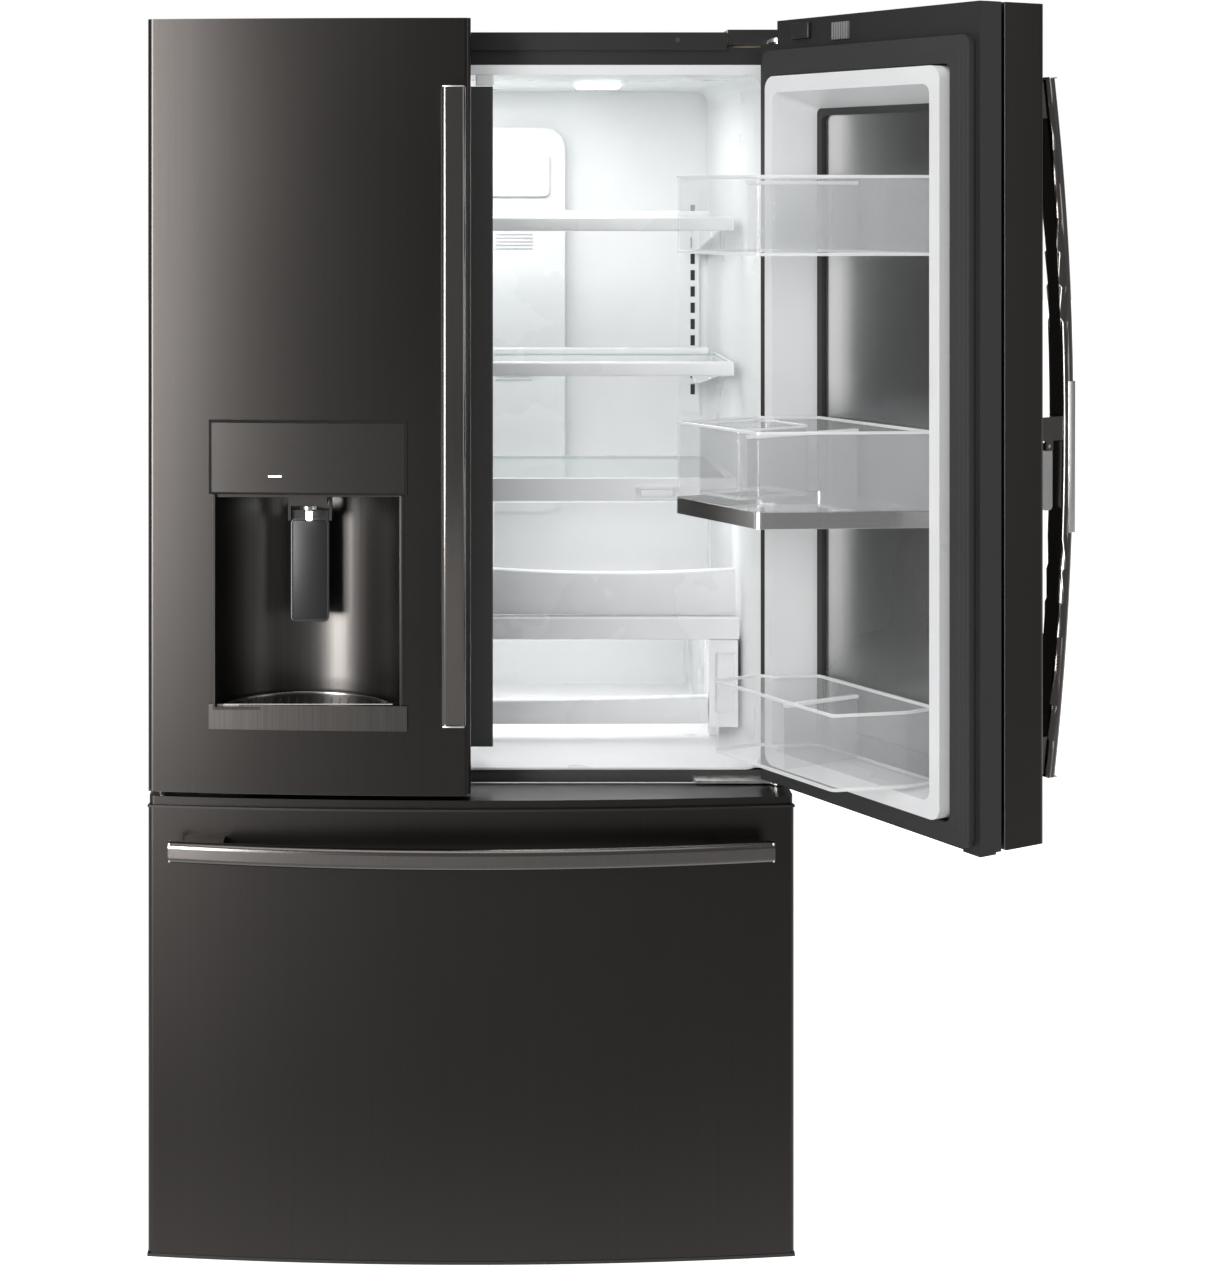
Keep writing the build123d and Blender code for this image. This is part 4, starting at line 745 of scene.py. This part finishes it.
@dataclass
class Cabinet:
    """The case, its trim, its hinges and everything behind the drawer line."""

    maker: Maker = field(default_factory=lambda: Maker("cabinet", "cabinet"))
    shelf_tops: Span = (1.276, 1.497)
    slot_pitch: float = 0.0275
    slot_rows: int = 12
    louvre_pitch: float = 0.006

    def dress(self) -> None:
        """Gives the case's CAD nodes their finishes."""
        white = ("air_duct", "shelf_tracks", "shelf_frames", "crisper_cover", "drawer_cover")
        white += ("side_fillers", "mullion_guide", "filter_cover", "humidity_slider")
        black = ("rear_connections", "base_grille", "condenser_fan", "evaporator_fan")
        finishes = {
            Palette.SIDE_PAINT: ("case_shell",),
            Palette.FOAM: ("foam_insulation",),
            Palette.LINER: ("fridge_liner", "freezer_liner"),
            Palette.CHARCOAL: ("top_trim", "leveling_legs", "rear_roller_left", "rear_roller_right"),
            Palette.RAIL_PAINT: ("center_rail",),
            Palette.STEEL: ("rear_panel", "base_frame"),
            Palette.BLACK: black,
            Palette.WHITE_TRIM: white,
            Palette.LAMP: ("light_lenses",),
            Palette.GLASS: ("glass_panes",),
            Palette.ZINC: ("door_hinges", "outer_slides", "middle_slides"),
            Palette.COMPRESSOR: ("compressor",),
            Palette.FINS: ("condenser", "evaporator"),
        }
        paint_nodes(finishes)

    def build(self) -> None:
        """Builds the pieces that the CAD leaves plain."""
        self.tracks()
        self.shelves()
        self.crisper_trim()
        self.duct()
        self.hinges()
        self.rear()

    def tracks(self) -> None:
        """Adds black patches in the shelf tracks, painted shade for their slots."""
        low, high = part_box("shelf_tracks")
        middle = (low[2] + high[2]) / 2
        half_wide, half_tall = 0.0038, 0.0088
        boxes = []
        for x in (-high[0] + 0.011, high[0] - 0.011):
            for row in range(self.slot_rows):
                z = middle + (row - (self.slot_rows - 1) / 2) * self.slot_pitch
                corner = (x - half_wide, low[1] + 0.0019, z - half_tall)
                boxes.append((corner, (x + half_wide, low[1] + 0.0025, z + half_tall)))
        # The black patches are painted shade for the open slots.
        self.maker.blocks("track_slot_shade", boxes, Palette.BLACK, 0.0002, 1)

    def shelves(self) -> None:
        """Adds a rounded front trim and a rear lip to each shelf."""
        low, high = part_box("shelf_frames")
        rear_y = (0.078, 0.086)
        trims, lips = [], []
        for top in self.shelf_tops:
            trims.append(((low[0], low[1] - 0.0015, top - 0.021), (high[0], low[1] + 0.012, top + 0.0012)))
            lips.append(((low[0] + 0.012, rear_y[0], top - 0.004), (high[0] - 0.012, rear_y[1], top + 0.008)))
        self.maker.blocks("shelf_front_trim", trims, Palette.WHITE_TRIM, 0.004, 4)
        self.maker.blocks("shelf_rear_lip", lips, Palette.WHITE_TRIM, 0.003, 3)

    def crisper_trim(self) -> None:
        """Adds the humidity control's window and marks to the crisper cover."""
        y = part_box("crisper_cover")[0][1]
        low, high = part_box("humidity_slider")
        x = (low[0] - 0.012, high[0] + 0.042)
        z = (low[2] - 0.006, high[2] + 0.006)
        profile = [(0, y + 0.0005), (0, y - 0.001), (0.002, y - 0.0014), (0.003, y + 0.0005)]
        self.maker.add("humidity_window", frame_ring(x, z, 0.004, profile), Palette.WHITE_TRIM)
        dots = []
        for k in range(4):
            start = x[1] + 0.006 + 0.005 * k
            corner = (start, y - 0.0004, z[0] + 0.006)
            dots.append((corner, (start + 0.0025, y + 0.0004, z[0] + 0.008 + 0.002 * k)))
        self.maker.blocks("humidity_marks", dots, Palette.CHARCOAL, 0.0002, 1)

    def duct(self) -> None:
        """Adds outlet louvres to the air duct and a mark and a grip to the filter cover."""
        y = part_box("air_duct")[0][1]
        louvres = []
        for outlet in (1.44, 1.22):
            for k in range(5):
                z = outlet + k * self.louvre_pitch
                louvres.append(((0.05, y - 0.0016, z), (0.112, y + 0.001, z + 0.0028)))
        self.maker.blocks("duct_louvres", louvres, Palette.GREY_FLANGE, 0.0006, 2)
        low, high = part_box("filter_cover")
        y = low[1]
        door = Maker("filter", "filter_cover")
        ridge = ((low[0] + 0.02, y - 0.0018, high[2] - 0.016), (high[0] - 0.02, y + 0.001, high[2] - 0.012))
        door.blocks("grip", [ridge], Palette.WHITE_TRIM, 0.0012, 3)
        cx, cz, size = low[0] + 0.075, low[2] + 0.03, 0.009
        corners = [(cx - size, cz - size * 0.8), (cx + size, cz - size * 0.8), (cx, cz + size * 0.8)]
        mark = bmesh.new()
        skin(mark, [[mark.verts.new((x, y + rise, z)) for x, z in corners] for rise in (-0.0006, 0.0004)])
        door.add("mark", mark, Palette.GREY_FLANGE)

    def hinges(self) -> None:
        """Adds screws to the hinges and a plug to the top trim."""
        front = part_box("case_shell")[0][1]
        lower = [(side * x, front - 0.0055, 0.674) for side in (-1, 1) for x in (0.331, 0.372)]
        screws(self.maker, "lower_hinge_screws", lower, 0.0062, FRONT)
        upper = [(x, front - 0.018, 1.7552) for x in (-0.44, 0.44)]
        screws(self.maker, "upper_hinge_screws", upper, 0.005, UP)
        plug = round_bar((0.3, front - 0.0048, 1.7545), (0.3, front - 0.001, 1.7545), 0.0045, 0.001)
        self.maker.add("trim_plug", plug, Palette.BLACK)

    def rear(self) -> None:
        """Adds screws, pressed beads and the compressor's tubes at the back."""
        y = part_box("rear_panel")[1][1]
        places = [(x, y, z) for x in (-0.43, 0.43) for z in (0.33, 0.7, 1.05, 1.4, 1.72)]
        places += [(x, y, z) for x in (-0.43, -0.15, 0.15, 0.43) for z in (0.07, 0.285)]
        screws(self.maker, "rear_screws", places, 0.0045, BACK)
        columns = (-0.3, -0.1, 0.1, 0.3)
        beads = [((x - 0.012, y - 0.0004, 0.42), (x + 0.012, y + 0.0022, 1.66)) for x in columns]
        self.maker.blocks("rear_beads", beads, Palette.STEEL, 0.0018, 3)
        low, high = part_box("compressor")
        cx, cy = (low[0] + high[0]) / 2, (low[1] + high[1]) / 2
        suction = [(-0.06, 0, 0.14), (-0.1, 0, 0.16), (-0.1, 0.03, 0.24), (-0.06, 0.05, 0.28)]
        discharge = [(-0.05, -0.04, 0.12), (-0.12, -0.05, 0.12), (-0.14, -0.05, 0.09)]
        tubes = [[(cx + x, cy + y, z) for x, y, z in route] for route in (suction, discharge)]
        self.maker.add("compressor_tubes", joined(pipe(t, 0.004) for t in tubes), Palette.COPPER)


@dataclass
class Crispers:
    """The two crispers and the full width drawer, with their white fronts."""

    arch: float = 0.006
    crown: float = 0.004
    crisper_front: float = 0.068
    drawer_front: float = 0.041

    def build(self) -> None:
        """Dresses each bin and adds its white front."""
        fronts = {
            "right_crisper": self.crisper_front,
            "left_crisper": self.crisper_front,
            "full_width_drawer": self.drawer_front,
        }
        for node, height in fronts.items():
            paint_node(node, Palette.CLEAR)
            self.bezel(node, height)

    def bezel(self, node: str, height: float) -> None:
        """Adds a white front with an arched lip.

        Args:
            node: The bin's CAD node and body.
            height: The front's height at its ends.
        """
        low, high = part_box(node)
        maker = Maker(node, node)
        mesh = bmesh.new()
        xs = spread_out(low[0] - 0.0012, high[0] + 0.0012, 24)
        middle, half = (xs[0] + xs[-1]) / 2, (xs[-1] - xs[0]) / 2
        rows = []
        for x in xs:
            rise = 1 - ((x - middle) / half) ** 2
            top = low[2] + height + 0.001 - self.arch * rise
            front, rear = low[1] - 0.0015 - self.crown * rise, low[1] + 0.0135
            base = low[2] - 0.0008
            face = [(front + 0.004, base), (front, base + 0.006), (front, top - 0.008)]
            lip = [(front + 0.003, top - 0.002), (front + 0.007, top), (rear, top), (rear, base)]
            rows.append([mesh.verts.new((x, y, z)) for y, z in face + lip])
        skin(mesh, rows)
        maker.add("front", mesh, Palette.WHITE_TRIM)


@dataclass
class FreezerDrawer:
    """The bottom drawer's front, its handle and its bins."""

    bow: Bow
    maker: Maker = field(default_factory=lambda: Maker("freezer", "freezer_drawer"))

    def build(self) -> None:
        """Dresses the drawer and adds its caps and handle ends."""
        finishes = {
            Palette.BLACK_STEEL: ("drawer_panel",),
            Palette.LINER: ("drawer_liner",),
            Palette.RUBBER: ("drawer_gasket",),
            # The handle's lighter steel carries painted sheen.
            Palette.HANDLE_STEEL_WITH_SHEEN: ("drawer_handle",),
            Palette.CLEAR: ("freezer_bins",),
        }
        paint_nodes(finishes)
        self.caps()
        self.handle_ends()

    def caps(self) -> None:
        """Adds the dark cap over the drawer's top edge and a strip under its front."""
        low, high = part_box("drawer_panel")
        x = (low[0] - 0.0005, high[0] + 0.0005)
        cap = bowed_strip(self.bow, x, (high[2] - 0.0145, high[2] - 0.0115), (-0.0006, 0.008))
        self.maker.add("top_edge", cap, Palette.CHARCOAL)
        lip = bowed_strip(self.bow, x, (low[2] - 0.0005, low[2] + 0.004), (-0.0008, 0.02))
        self.maker.add("bottom_edge", lip, Palette.CHARCOAL)

    def handle_ends(self) -> None:
        """Adds a bright cap at each end of the bar."""
        low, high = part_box("drawer_handle")
        z = (low[2] + high[2]) / 2
        for side, name in ((-1, "left"), (1, "right")):
            x = side * (high[0] - 0.0005)
            y = self.bow.y(abs(x)) - 0.038
            inner, outer = sorted((x, x - side * 0.003))
            end = ((inner, y - 0.0085, z - 0.0135), (outer, y + 0.0085, z + 0.0135))
            self.maker.blocks(f"handle_end_{name}", [end], Palette.ZINC, 0.0014)


@dataclass
class DoorHandle:
    """A bowed upright bar with bevelled ends."""

    maker: Maker
    node: str

    def build(self) -> None:
        """Dresses the bar and adds a bright bevel at each end."""
        # The bar's lighter steel carries painted sheen for its highlight.
        paint_node(self.node, Palette.HANDLE_STEEL_WITH_SHEEN)
        low, high = self.maker.pose.box(self.node)
        x = (low[0] + high[0]) / 2
        y = high[1] - 0.0225
        for name, z, step in (("bottom", low[2], 0.0018), ("top", high[2], -0.0018)):
            foot, head = sorted((z - step * 0.2, z + step))
            end = ((x - 0.015, y - 0.0075, foot), (x + 0.015, y + 0.0075, head))
            self.maker.blocks(f"handle_{name}", [end], Palette.ZINC, 0.0008)


@dataclass
class LeftDoor:
    """The closed door with the dispenser."""

    bow: Bow
    maker: Maker = field(default_factory=lambda: Maker("left_door", "left_door"))
    tray_half: float = 0.118
    tray_depth: float = 0.084
    tray_floor: float = 0.817
    post_reach: float = 0.131

    def build(self) -> None:
        """Dresses the door and builds its dispenser, caps and handle."""
        finishes = {
            Palette.BLACK_STEEL: ("left_panel",),
            Palette.LINER: ("left_liner",),
            Palette.RUBBER: ("left_gasket",),
            Palette.ALCOVE_STEEL: ("dispenser_housing",),
            Palette.GLOSS: ("control_panel",),
            Palette.WHITE_TRIM: ("ice_compartment",),
            Palette.CLEAR: ("left_bin",),
            Palette.CHARCOAL: ("dispenser_paddle",),
            Palette.STRIP: ("mullion",),
        }
        paint_nodes(finishes)
        DoorHandle(self.maker, "left_handle").build()
        self.caps()
        self.controls()
        self.alcove()

    def caps(self) -> None:
        """Adds a thin cap along the door's bottom edge."""
        low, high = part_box("left_panel")
        x = (low[0] + 0.001, high[0] - 0.001)
        cap = bowed_strip(self.bow, x, (low[2] - 0.0006, low[2] + 0.002), (0.001, 0.09))
        self.maker.add("bottom_cap", cap, Palette.BLACK)

    def controls(self) -> None:
        """Adds the control panel's inner face and its status bar."""
        low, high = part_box("control_panel")
        x, z = (low[0] + 0.004, high[0] - 0.004), (low[2] + 0.003, high[2] - 0.004)
        face = bowed_strip(self.bow, x, z, (-0.0022, -0.0012), 0.0003)
        self.maker.add("control_face", face, Palette.PANEL_STEEL)
        x, z = (low[0] + 0.084, low[0] + 0.102), (low[2] + 0.0245, low[2] + 0.0263)
        bar = bowed_strip(self.bow, x, z, (-0.0028, -0.002), 0.0002)
        self.maker.add("status_bar", bar, Palette.BEAM)

    def alcove(self) -> None:
        """Adds the nozzle, its light, the drip tray, the posts and the paddle's rim and face."""
        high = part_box("dispenser_housing")[1]
        paddle_low, paddle_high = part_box("dispenser_paddle")
        middle = (paddle_low[0] + paddle_high[0]) / 2
        roof = high[2]
        nozzle_y = paddle_low[1] - 0.026
        collar = round_bar((middle, nozzle_y, roof - 0.026), (middle, nozzle_y, roof - 0.017), 0.012, 0.002)
        self.maker.add("nozzle_collar", collar, Palette.SILVER)
        spout = round_bar((middle, nozzle_y, roof - 0.04), (middle, nozzle_y, roof - 0.025), 0.0045, 0.001)
        self.maker.add("nozzle_light", spout, Palette.BEAM)
        self.tray(middle)
        self.posts(middle, roof)
        paddle = Maker("paddle", "dispenser_paddle")
        x = (paddle_low[0] + 0.003, paddle_high[0] - 0.003)
        z = (paddle_low[2] - 0.0005, paddle_high[2] - 0.012)
        y = paddle_low[1]
        outside = [(0, y + 0.002), (0, y - 0.0012), (0.0015, y - 0.0016)]
        inside = [(0.003, y - 0.0004), (0.003, y + 0.002)]
        paddle.add("rim", frame_ring(x, z, 0.007, outside + inside), Palette.BLACK)
        face = ((x[0] + 0.003, y - 0.0006, z[0] + 0.004), (x[1] - 0.003, y + 0.001, z[1] - 0.003))
        paddle.blocks("face", [face], Palette.CHARCOAL, 0.0004)

    def tray(self, middle: float) -> None:
        """Adds the drip tray with its light rim and its bars.

        Args:
            middle: X of the alcove's middle.
        """
        half, depth, floor = self.tray_half, self.tray_depth, self.tray_floor
        front = self.bow.y(middle)
        arc = (half**2 + depth**2) / (2 * depth)
        loop = []
        for x in spread_out(-half, half, 30):
            loop.append(Vector((middle + x, front + 0.006 + math.sqrt(arc**2 - x**2) - (arc - depth))))
        loop += [Vector((middle + half, front + 0.004)), Vector((middle - half, front + 0.004))]
        rim = wall_band(loop, (floor, floor + 0.0035), 0.0, 0.003)
        self.maker.add("tray_rim", rim, Palette.SILVER)
        plate = bmesh.new()
        plate.faces.new([plate.verts.new((*p, floor + 0.0018)) for p in loop])
        bmesh.ops.solidify(plate, geom=plate.faces[:], thickness=0.0012)
        self.maker.add("tray_plate", plate, Palette.ALCOVE_STEEL)
        bars = []
        for k in range(16):
            x = middle - 0.09 + 0.012 * k
            bars.append(((x, front + 0.012, floor + 0.0018), (x + 0.003, front + 0.05, floor + 0.0028)))
        self.maker.blocks("tray_bars", bars, Palette.BLACK, 0.0004, 1)

    def posts(self, middle: float, roof: float) -> None:
        """Adds the thin posts at the alcove's sides."""
        posts = []
        for x in (middle - self.post_reach, middle + self.post_reach):
            y = self.bow.y(x)
            posts.append(((x - 0.003, y - 0.0012, self.tray_floor), (x + 0.003, y + 0.005, roof)))
        self.maker.blocks("alcove_posts", posts, Palette.CHARCOAL, 0.001)


@dataclass
class RightDoor:
    """The open door: its inner frame with bins, and the outer door on it."""

    bow: Bow
    pose: Pose = field(default_factory=lambda: Pose.of_joint("right_door_hinge"))
    deep_front: Sequence[Span] = ((0.032, -0.202), (0.214, -0.202), (0.314, 0.0))
    low_front: Sequence[Span] = ((0.032, -0.137), (0.288, -0.137), (0.32, -0.04))
    bin_rear: Sequence[Span] = ((0.32, 0.012), (0.078, 0.012), (0.056, -0.048), (0.032, -0.06))
    cup_plan: Sequence[Span] = ((0.062, -0.19), (0.16, -0.19), (0.16, -0.07), (0.062, -0.07))

    def __post_init__(self) -> None:
        """Makes one maker for each of the two bodies, and gives each bin its outline."""
        fronts = {"top_bin": self.deep_front, "middle_bin": self.deep_front, "bottom_bin": self.low_front}
        self.bin_plans = {node: (*front, *self.bin_rear) for node, front in fronts.items()}
        self.inner = Maker("right_door", "right_door", self.pose)
        self.outer = Maker("outer_door", "outer_door", self.pose)

    def build(self) -> None:
        """Dresses both doors and builds their gaskets, bins and handle."""
        finishes = {
            Palette.FRAME_DARK: ("right_frame",),
            Palette.LINER: ("right_liner",),
            Palette.RUBBER: ("right_gaskets",),
            Palette.CLEAR: ("top_bin", "middle_bin", "bottom_bin"),
            Palette.BLACK_STEEL: ("outer_panel",),
            Palette.BRIGHT_STEEL: ("inner_skin",),
            Palette.SILVER: ("latch_trigger",),
        }
        paint_nodes(finishes)
        DoorHandle(self.outer, "right_handle").build()
        self.gasket_ribs()
        self.bin_trim()
        self.fittings()
        self.handle_detail()

    def gasket_ribs(self) -> None:
        """Adds the soft ribs on the gasket's face."""
        low, high = self.pose.box("right_gaskets")
        y = high[1]
        for index, inset in enumerate((0.002, 0.0095, 0.017)):
            outside = [(inset, y - 0.003), (inset, y - 0.0002), (inset + 0.0025, y + 0.0004)]
            profile = outside + [(inset + 0.005, y - 0.0002), (inset + 0.005, y - 0.003)]
            ring = frame_ring((low[0], high[0]), (low[2], high[2]), 0.014, profile)
            self.inner.add(f"gasket_rib_{index}", ring, Palette.RUBBER)

    def plan(self, places: Iterable[Span]) -> list[Span]:
        """Turns distances from the hinge pin, along and in front of the door, into points in plan."""
        x, y, _ = self.pose.pivot
        return [(x - along, y - ahead) for along, ahead in places]

    def bin_trim(self) -> None:
        """Adds the bins' bright rims and feet, their dividers, and the middle bin's brushed band."""
        for node, corners in self.bin_plans.items():
            low, high = self.pose.box(node)
            loop = rounded_loop(self.plan(corners), 0.007)
            rim = wall_band(loop, (high[2] - 0.003, high[2] + 0.0008), 0.0012, 0.0034)
            self.inner.add(f"{node}_rim", rim, Palette.RIM)
            foot = wall_band(loop, (low[2] - 0.0006, low[2] + 0.0034), 0.0006, 0.003)
            self.inner.add(f"{node}_foot", foot, Palette.RIM)
            if node == "middle_bin":
                band = wall_band(loop, (low[2] - 0.0002, low[2] + 0.022), 0.001, -0.0002)
                self.inner.add("middle_bin_band", band, Palette.SILVER)
            self.divider(node, low[2] + 0.004, high[2] - 0.012)
        self.cup()

    def divider(self, node: str, foot: float, top: float) -> None:
        """Adds a clear divider across a bin, with a thicker grip along its top.

        Args:
            node: The bin's CAD node.
            foot: Z of the divider's foot.
            top: Z where its grip starts.
        """
        reach = 0.128 if node == "bottom_bin" else 0.19
        corners = self.plan([(0.176, -0.004), (0.179, -reach)])
        (left, right), (front, rear) = (sorted(values) for values in zip(*corners))
        plate = ((left, front, foot), (right, rear, top))
        self.inner.blocks(f"{node}_divider", [plate], Palette.CLEAR, 0.0008)
        clip = ((left - 0.0035, front, top), (right + 0.0035, rear, top + 0.005))
        self.inner.blocks(f"{node}_divider_grip", [clip], Palette.RIM, 0.0015)

    def cup(self) -> None:
        """Adds the clear cup that stands in the middle bin."""
        low, high = self.pose.box("middle_bin")
        loop = rounded_loop(self.plan(self.cup_plan), 0.016)
        z = (low[2] + 0.03, high[2] - 0.002)
        self.inner.add("cup_wall", wall_band(loop, z, 0.0009, 0.0009), Palette.CLEAR)
        self.inner.add("cup_rim", wall_band(loop, (z[1] - 0.002, z[1] + 0.001), 0.0026, 0.0009), Palette.RIM)
        self.inner.add("cup_floor", wall_band(loop, (z[0], z[0] + 0.003), 0.0009, 0.012), Palette.RIM)

    def fittings(self) -> None:
        """Adds the stop block, the ribbed grip and the end caps of the door's inner frame."""
        low, high = self.pose.box("right_frame")
        y, top = high[1], high[2]
        x = self.pose.pivot[0]
        block = ((x - 0.1, y - 0.001, top - 0.029), (x - 0.062, y + 0.006, top - 0.006))
        self.inner.blocks("stop_block", [block], Palette.CHARCOAL, 0.002, 3)
        starts = [x - 0.182 + 0.005 * k for k in range(7)]
        ribs = [((rib, y - 0.001, top - 0.034), (rib + 0.0035, y + 0.005, top - 0.01)) for rib in starts]
        self.inner.blocks("ribbed_grip", ribs, Palette.GRIP_GREY, 0.001)
        left, foot = low[0], low[2]
        feet = [
            ((left + 0.002, y - 0.03, foot - 0.004), (left + 0.034, y - 0.002, foot + 0.001)),
            ((left + 0.05, y - 0.026, foot - 0.003), (left + 0.075, y - 0.006, foot + 0.001)),
        ]
        self.inner.blocks("bottom_caps", feet, Palette.CHARCOAL, 0.0012)

    def handle_detail(self) -> None:
        """Adds the handle's bright insert beside the latch."""
        low, high = self.pose.box("right_handle")
        stem = self.pose.box("latch_trigger")
        x = (low[0] + high[0]) / 2
        y = low[1]
        insert = ((x - 0.0184, y + 0.002, stem[0][2] - 0.03), (x - 0.0165, y + 0.014, stem[1][2] + 0.08))
        self.outer.blocks("handle_insert", [insert], Palette.SILVER, 0.0008, 3)


@dataclass
class Studio:
    """The floor, the lights and the camera."""

    focal: float = 66.93
    shift: Span = (0.132, -0.3474)
    eye: Point = (-0.0436, -3.723, 1.534)

    def floor(self) -> None:
        """Lays a plain pale floor."""
        bpy.ops.mesh.primitive_plane_add(size=60.0, location=(0, 0, -0.0005))
        ground = bpy.context.object
        ground.name = "floor"
        ground.data.materials.append(Palette.of(Palette.FLOOR))

    def world(self) -> None:
        """Sets a white backdrop that lights the scene less than it shows."""
        world = bpy.data.worlds.new("studio")
        bpy.context.scene.world = world
        world.use_nodes = True
        tree = world.node_tree
        tree.nodes.clear()
        out = tree.nodes.new("ShaderNodeOutputWorld")
        mix = tree.nodes.new("ShaderNodeMixShader")
        path = tree.nodes.new("ShaderNodeLightPath")
        felt, seen = ((0.97, 0.97, 0.98, 1), 0.35), ((1, 1, 1, 1), 1.0)
        for slot, (colour, strength) in enumerate((felt, seen), start=1):
            sky = tree.nodes.new("ShaderNodeBackground")
            sky.inputs["Color"].default_value = colour
            sky.inputs["Strength"].default_value = strength
            tree.links.new(sky.outputs[0], mix.inputs[slot])
        tree.links.new(path.outputs["Is Camera Ray"], mix.inputs["Fac"])
        tree.links.new(mix.outputs[0], out.inputs["Surface"])

    def area(
        self, name: str, at: Point, aim: Point, size: Span, power: float, reach: Reach = Reach.ALL
    ) -> None:
        """Adds a soft light panel.

        Args:
            name: The light's name.
            at: Where its middle is.
            aim: The point that it faces.
            size: Its width and height.
            power: Its power in watts.
            reach: The surfaces that it shows on.
        """
        light = bpy.data.lights.new(name, "AREA")
        light.shape = "RECTANGLE"
        light.size, light.size_y = size
        light.energy = power
        lamp = bpy.data.objects.new(name, light)
        lamp.location = at
        lamp.visible_camera = False
        lamp.visible_diffuse, lamp.visible_glossy = reach.value
        lamp.rotation_euler = (Vector(aim) - Vector(at)).to_track_quat("-Z", "Y").to_euler()
        bpy.context.scene.collection.objects.link(lamp)

    def lights(self) -> None:
        """Places the panels round the object."""
        self.area("left_panel_light", (-2.75, -3.9, 1.3), (-0.3, -0.4, 1.0), (1.5, 3.4), 600, Reach.GLOSSY)
        self.area("front_fill", (-1.6, -4.2, 2.2), (0.4, -0.3, 1.1), (2.0, 2.0), 75, Reach.MATTE)
        self.area("right_panel_light", (3.6, -2.6, 1.8), (0.2, 0, 1.0), (1.2, 3.0), 30)
        self.area("top_light", (0, -1.4, 4.0), (0, -0.2, 0.8), (3.5, 2.0), 45)
        self.area("rear_light", (0.5, 3.6, 2.6), (0, 0, 1.0), (3.0, 2.0), 60)
        self.area("inside_light", (0.0, -0.06, 1.69), (0.02, 0.0, 0.8), (0.5, 0.2), 2.6)
        self.area("shelf_light", (0.1, -0.1, 1.25), (0.1, 0.1, 0.9), (0.5, 0.1), 0.25)
        self.area("crisper_light", (0.1, 0.0, 1.06), (0.1, 0.0, 0.8), (0.6, 0.2), 1.3)
        self.area("drawer_light", (0.05, 0.0, 0.884), (0.05, 0.0, 0.5), (0.6, 0.2), 1.3)

    def camera(self) -> None:
        """Places the camera and keeps its upright lines upright."""
        data = bpy.data.cameras.new("camera")
        data.lens = self.focal
        data.sensor_width = 36.0
        data.shift_x, data.shift_y = self.shift
        cam = bpy.data.objects.new("camera", data)
        cam.location = self.eye
        cam.rotation_euler = (math.radians(90), 0, 0)
        bpy.context.scene.collection.objects.link(cam)
        bpy.context.scene.camera = cam

    def build(self) -> None:
        """Sets up the whole studio."""
        self.camera()
        self.world()
        self.floor()
        self.lights()
        bpy.context.scene.view_settings.view_transform = "Standard"


def main() -> None:
    """Builds the refrigerator and its studio in order."""
    logging.basicConfig(level=logging.INFO, format="%(message)s")
    low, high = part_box("drawer_panel")
    bow = Bow(half=high[0], depth=0.027, crown=low[1])
    Studio().build()
    cabinet = Cabinet()
    cabinet.dress()
    cabinet.build()
    Crispers().build()
    FreezerDrawer(bow).build()
    LeftDoor(bow).build()
    RightDoor(bow).build()


if __name__ == "__main__":
    main()
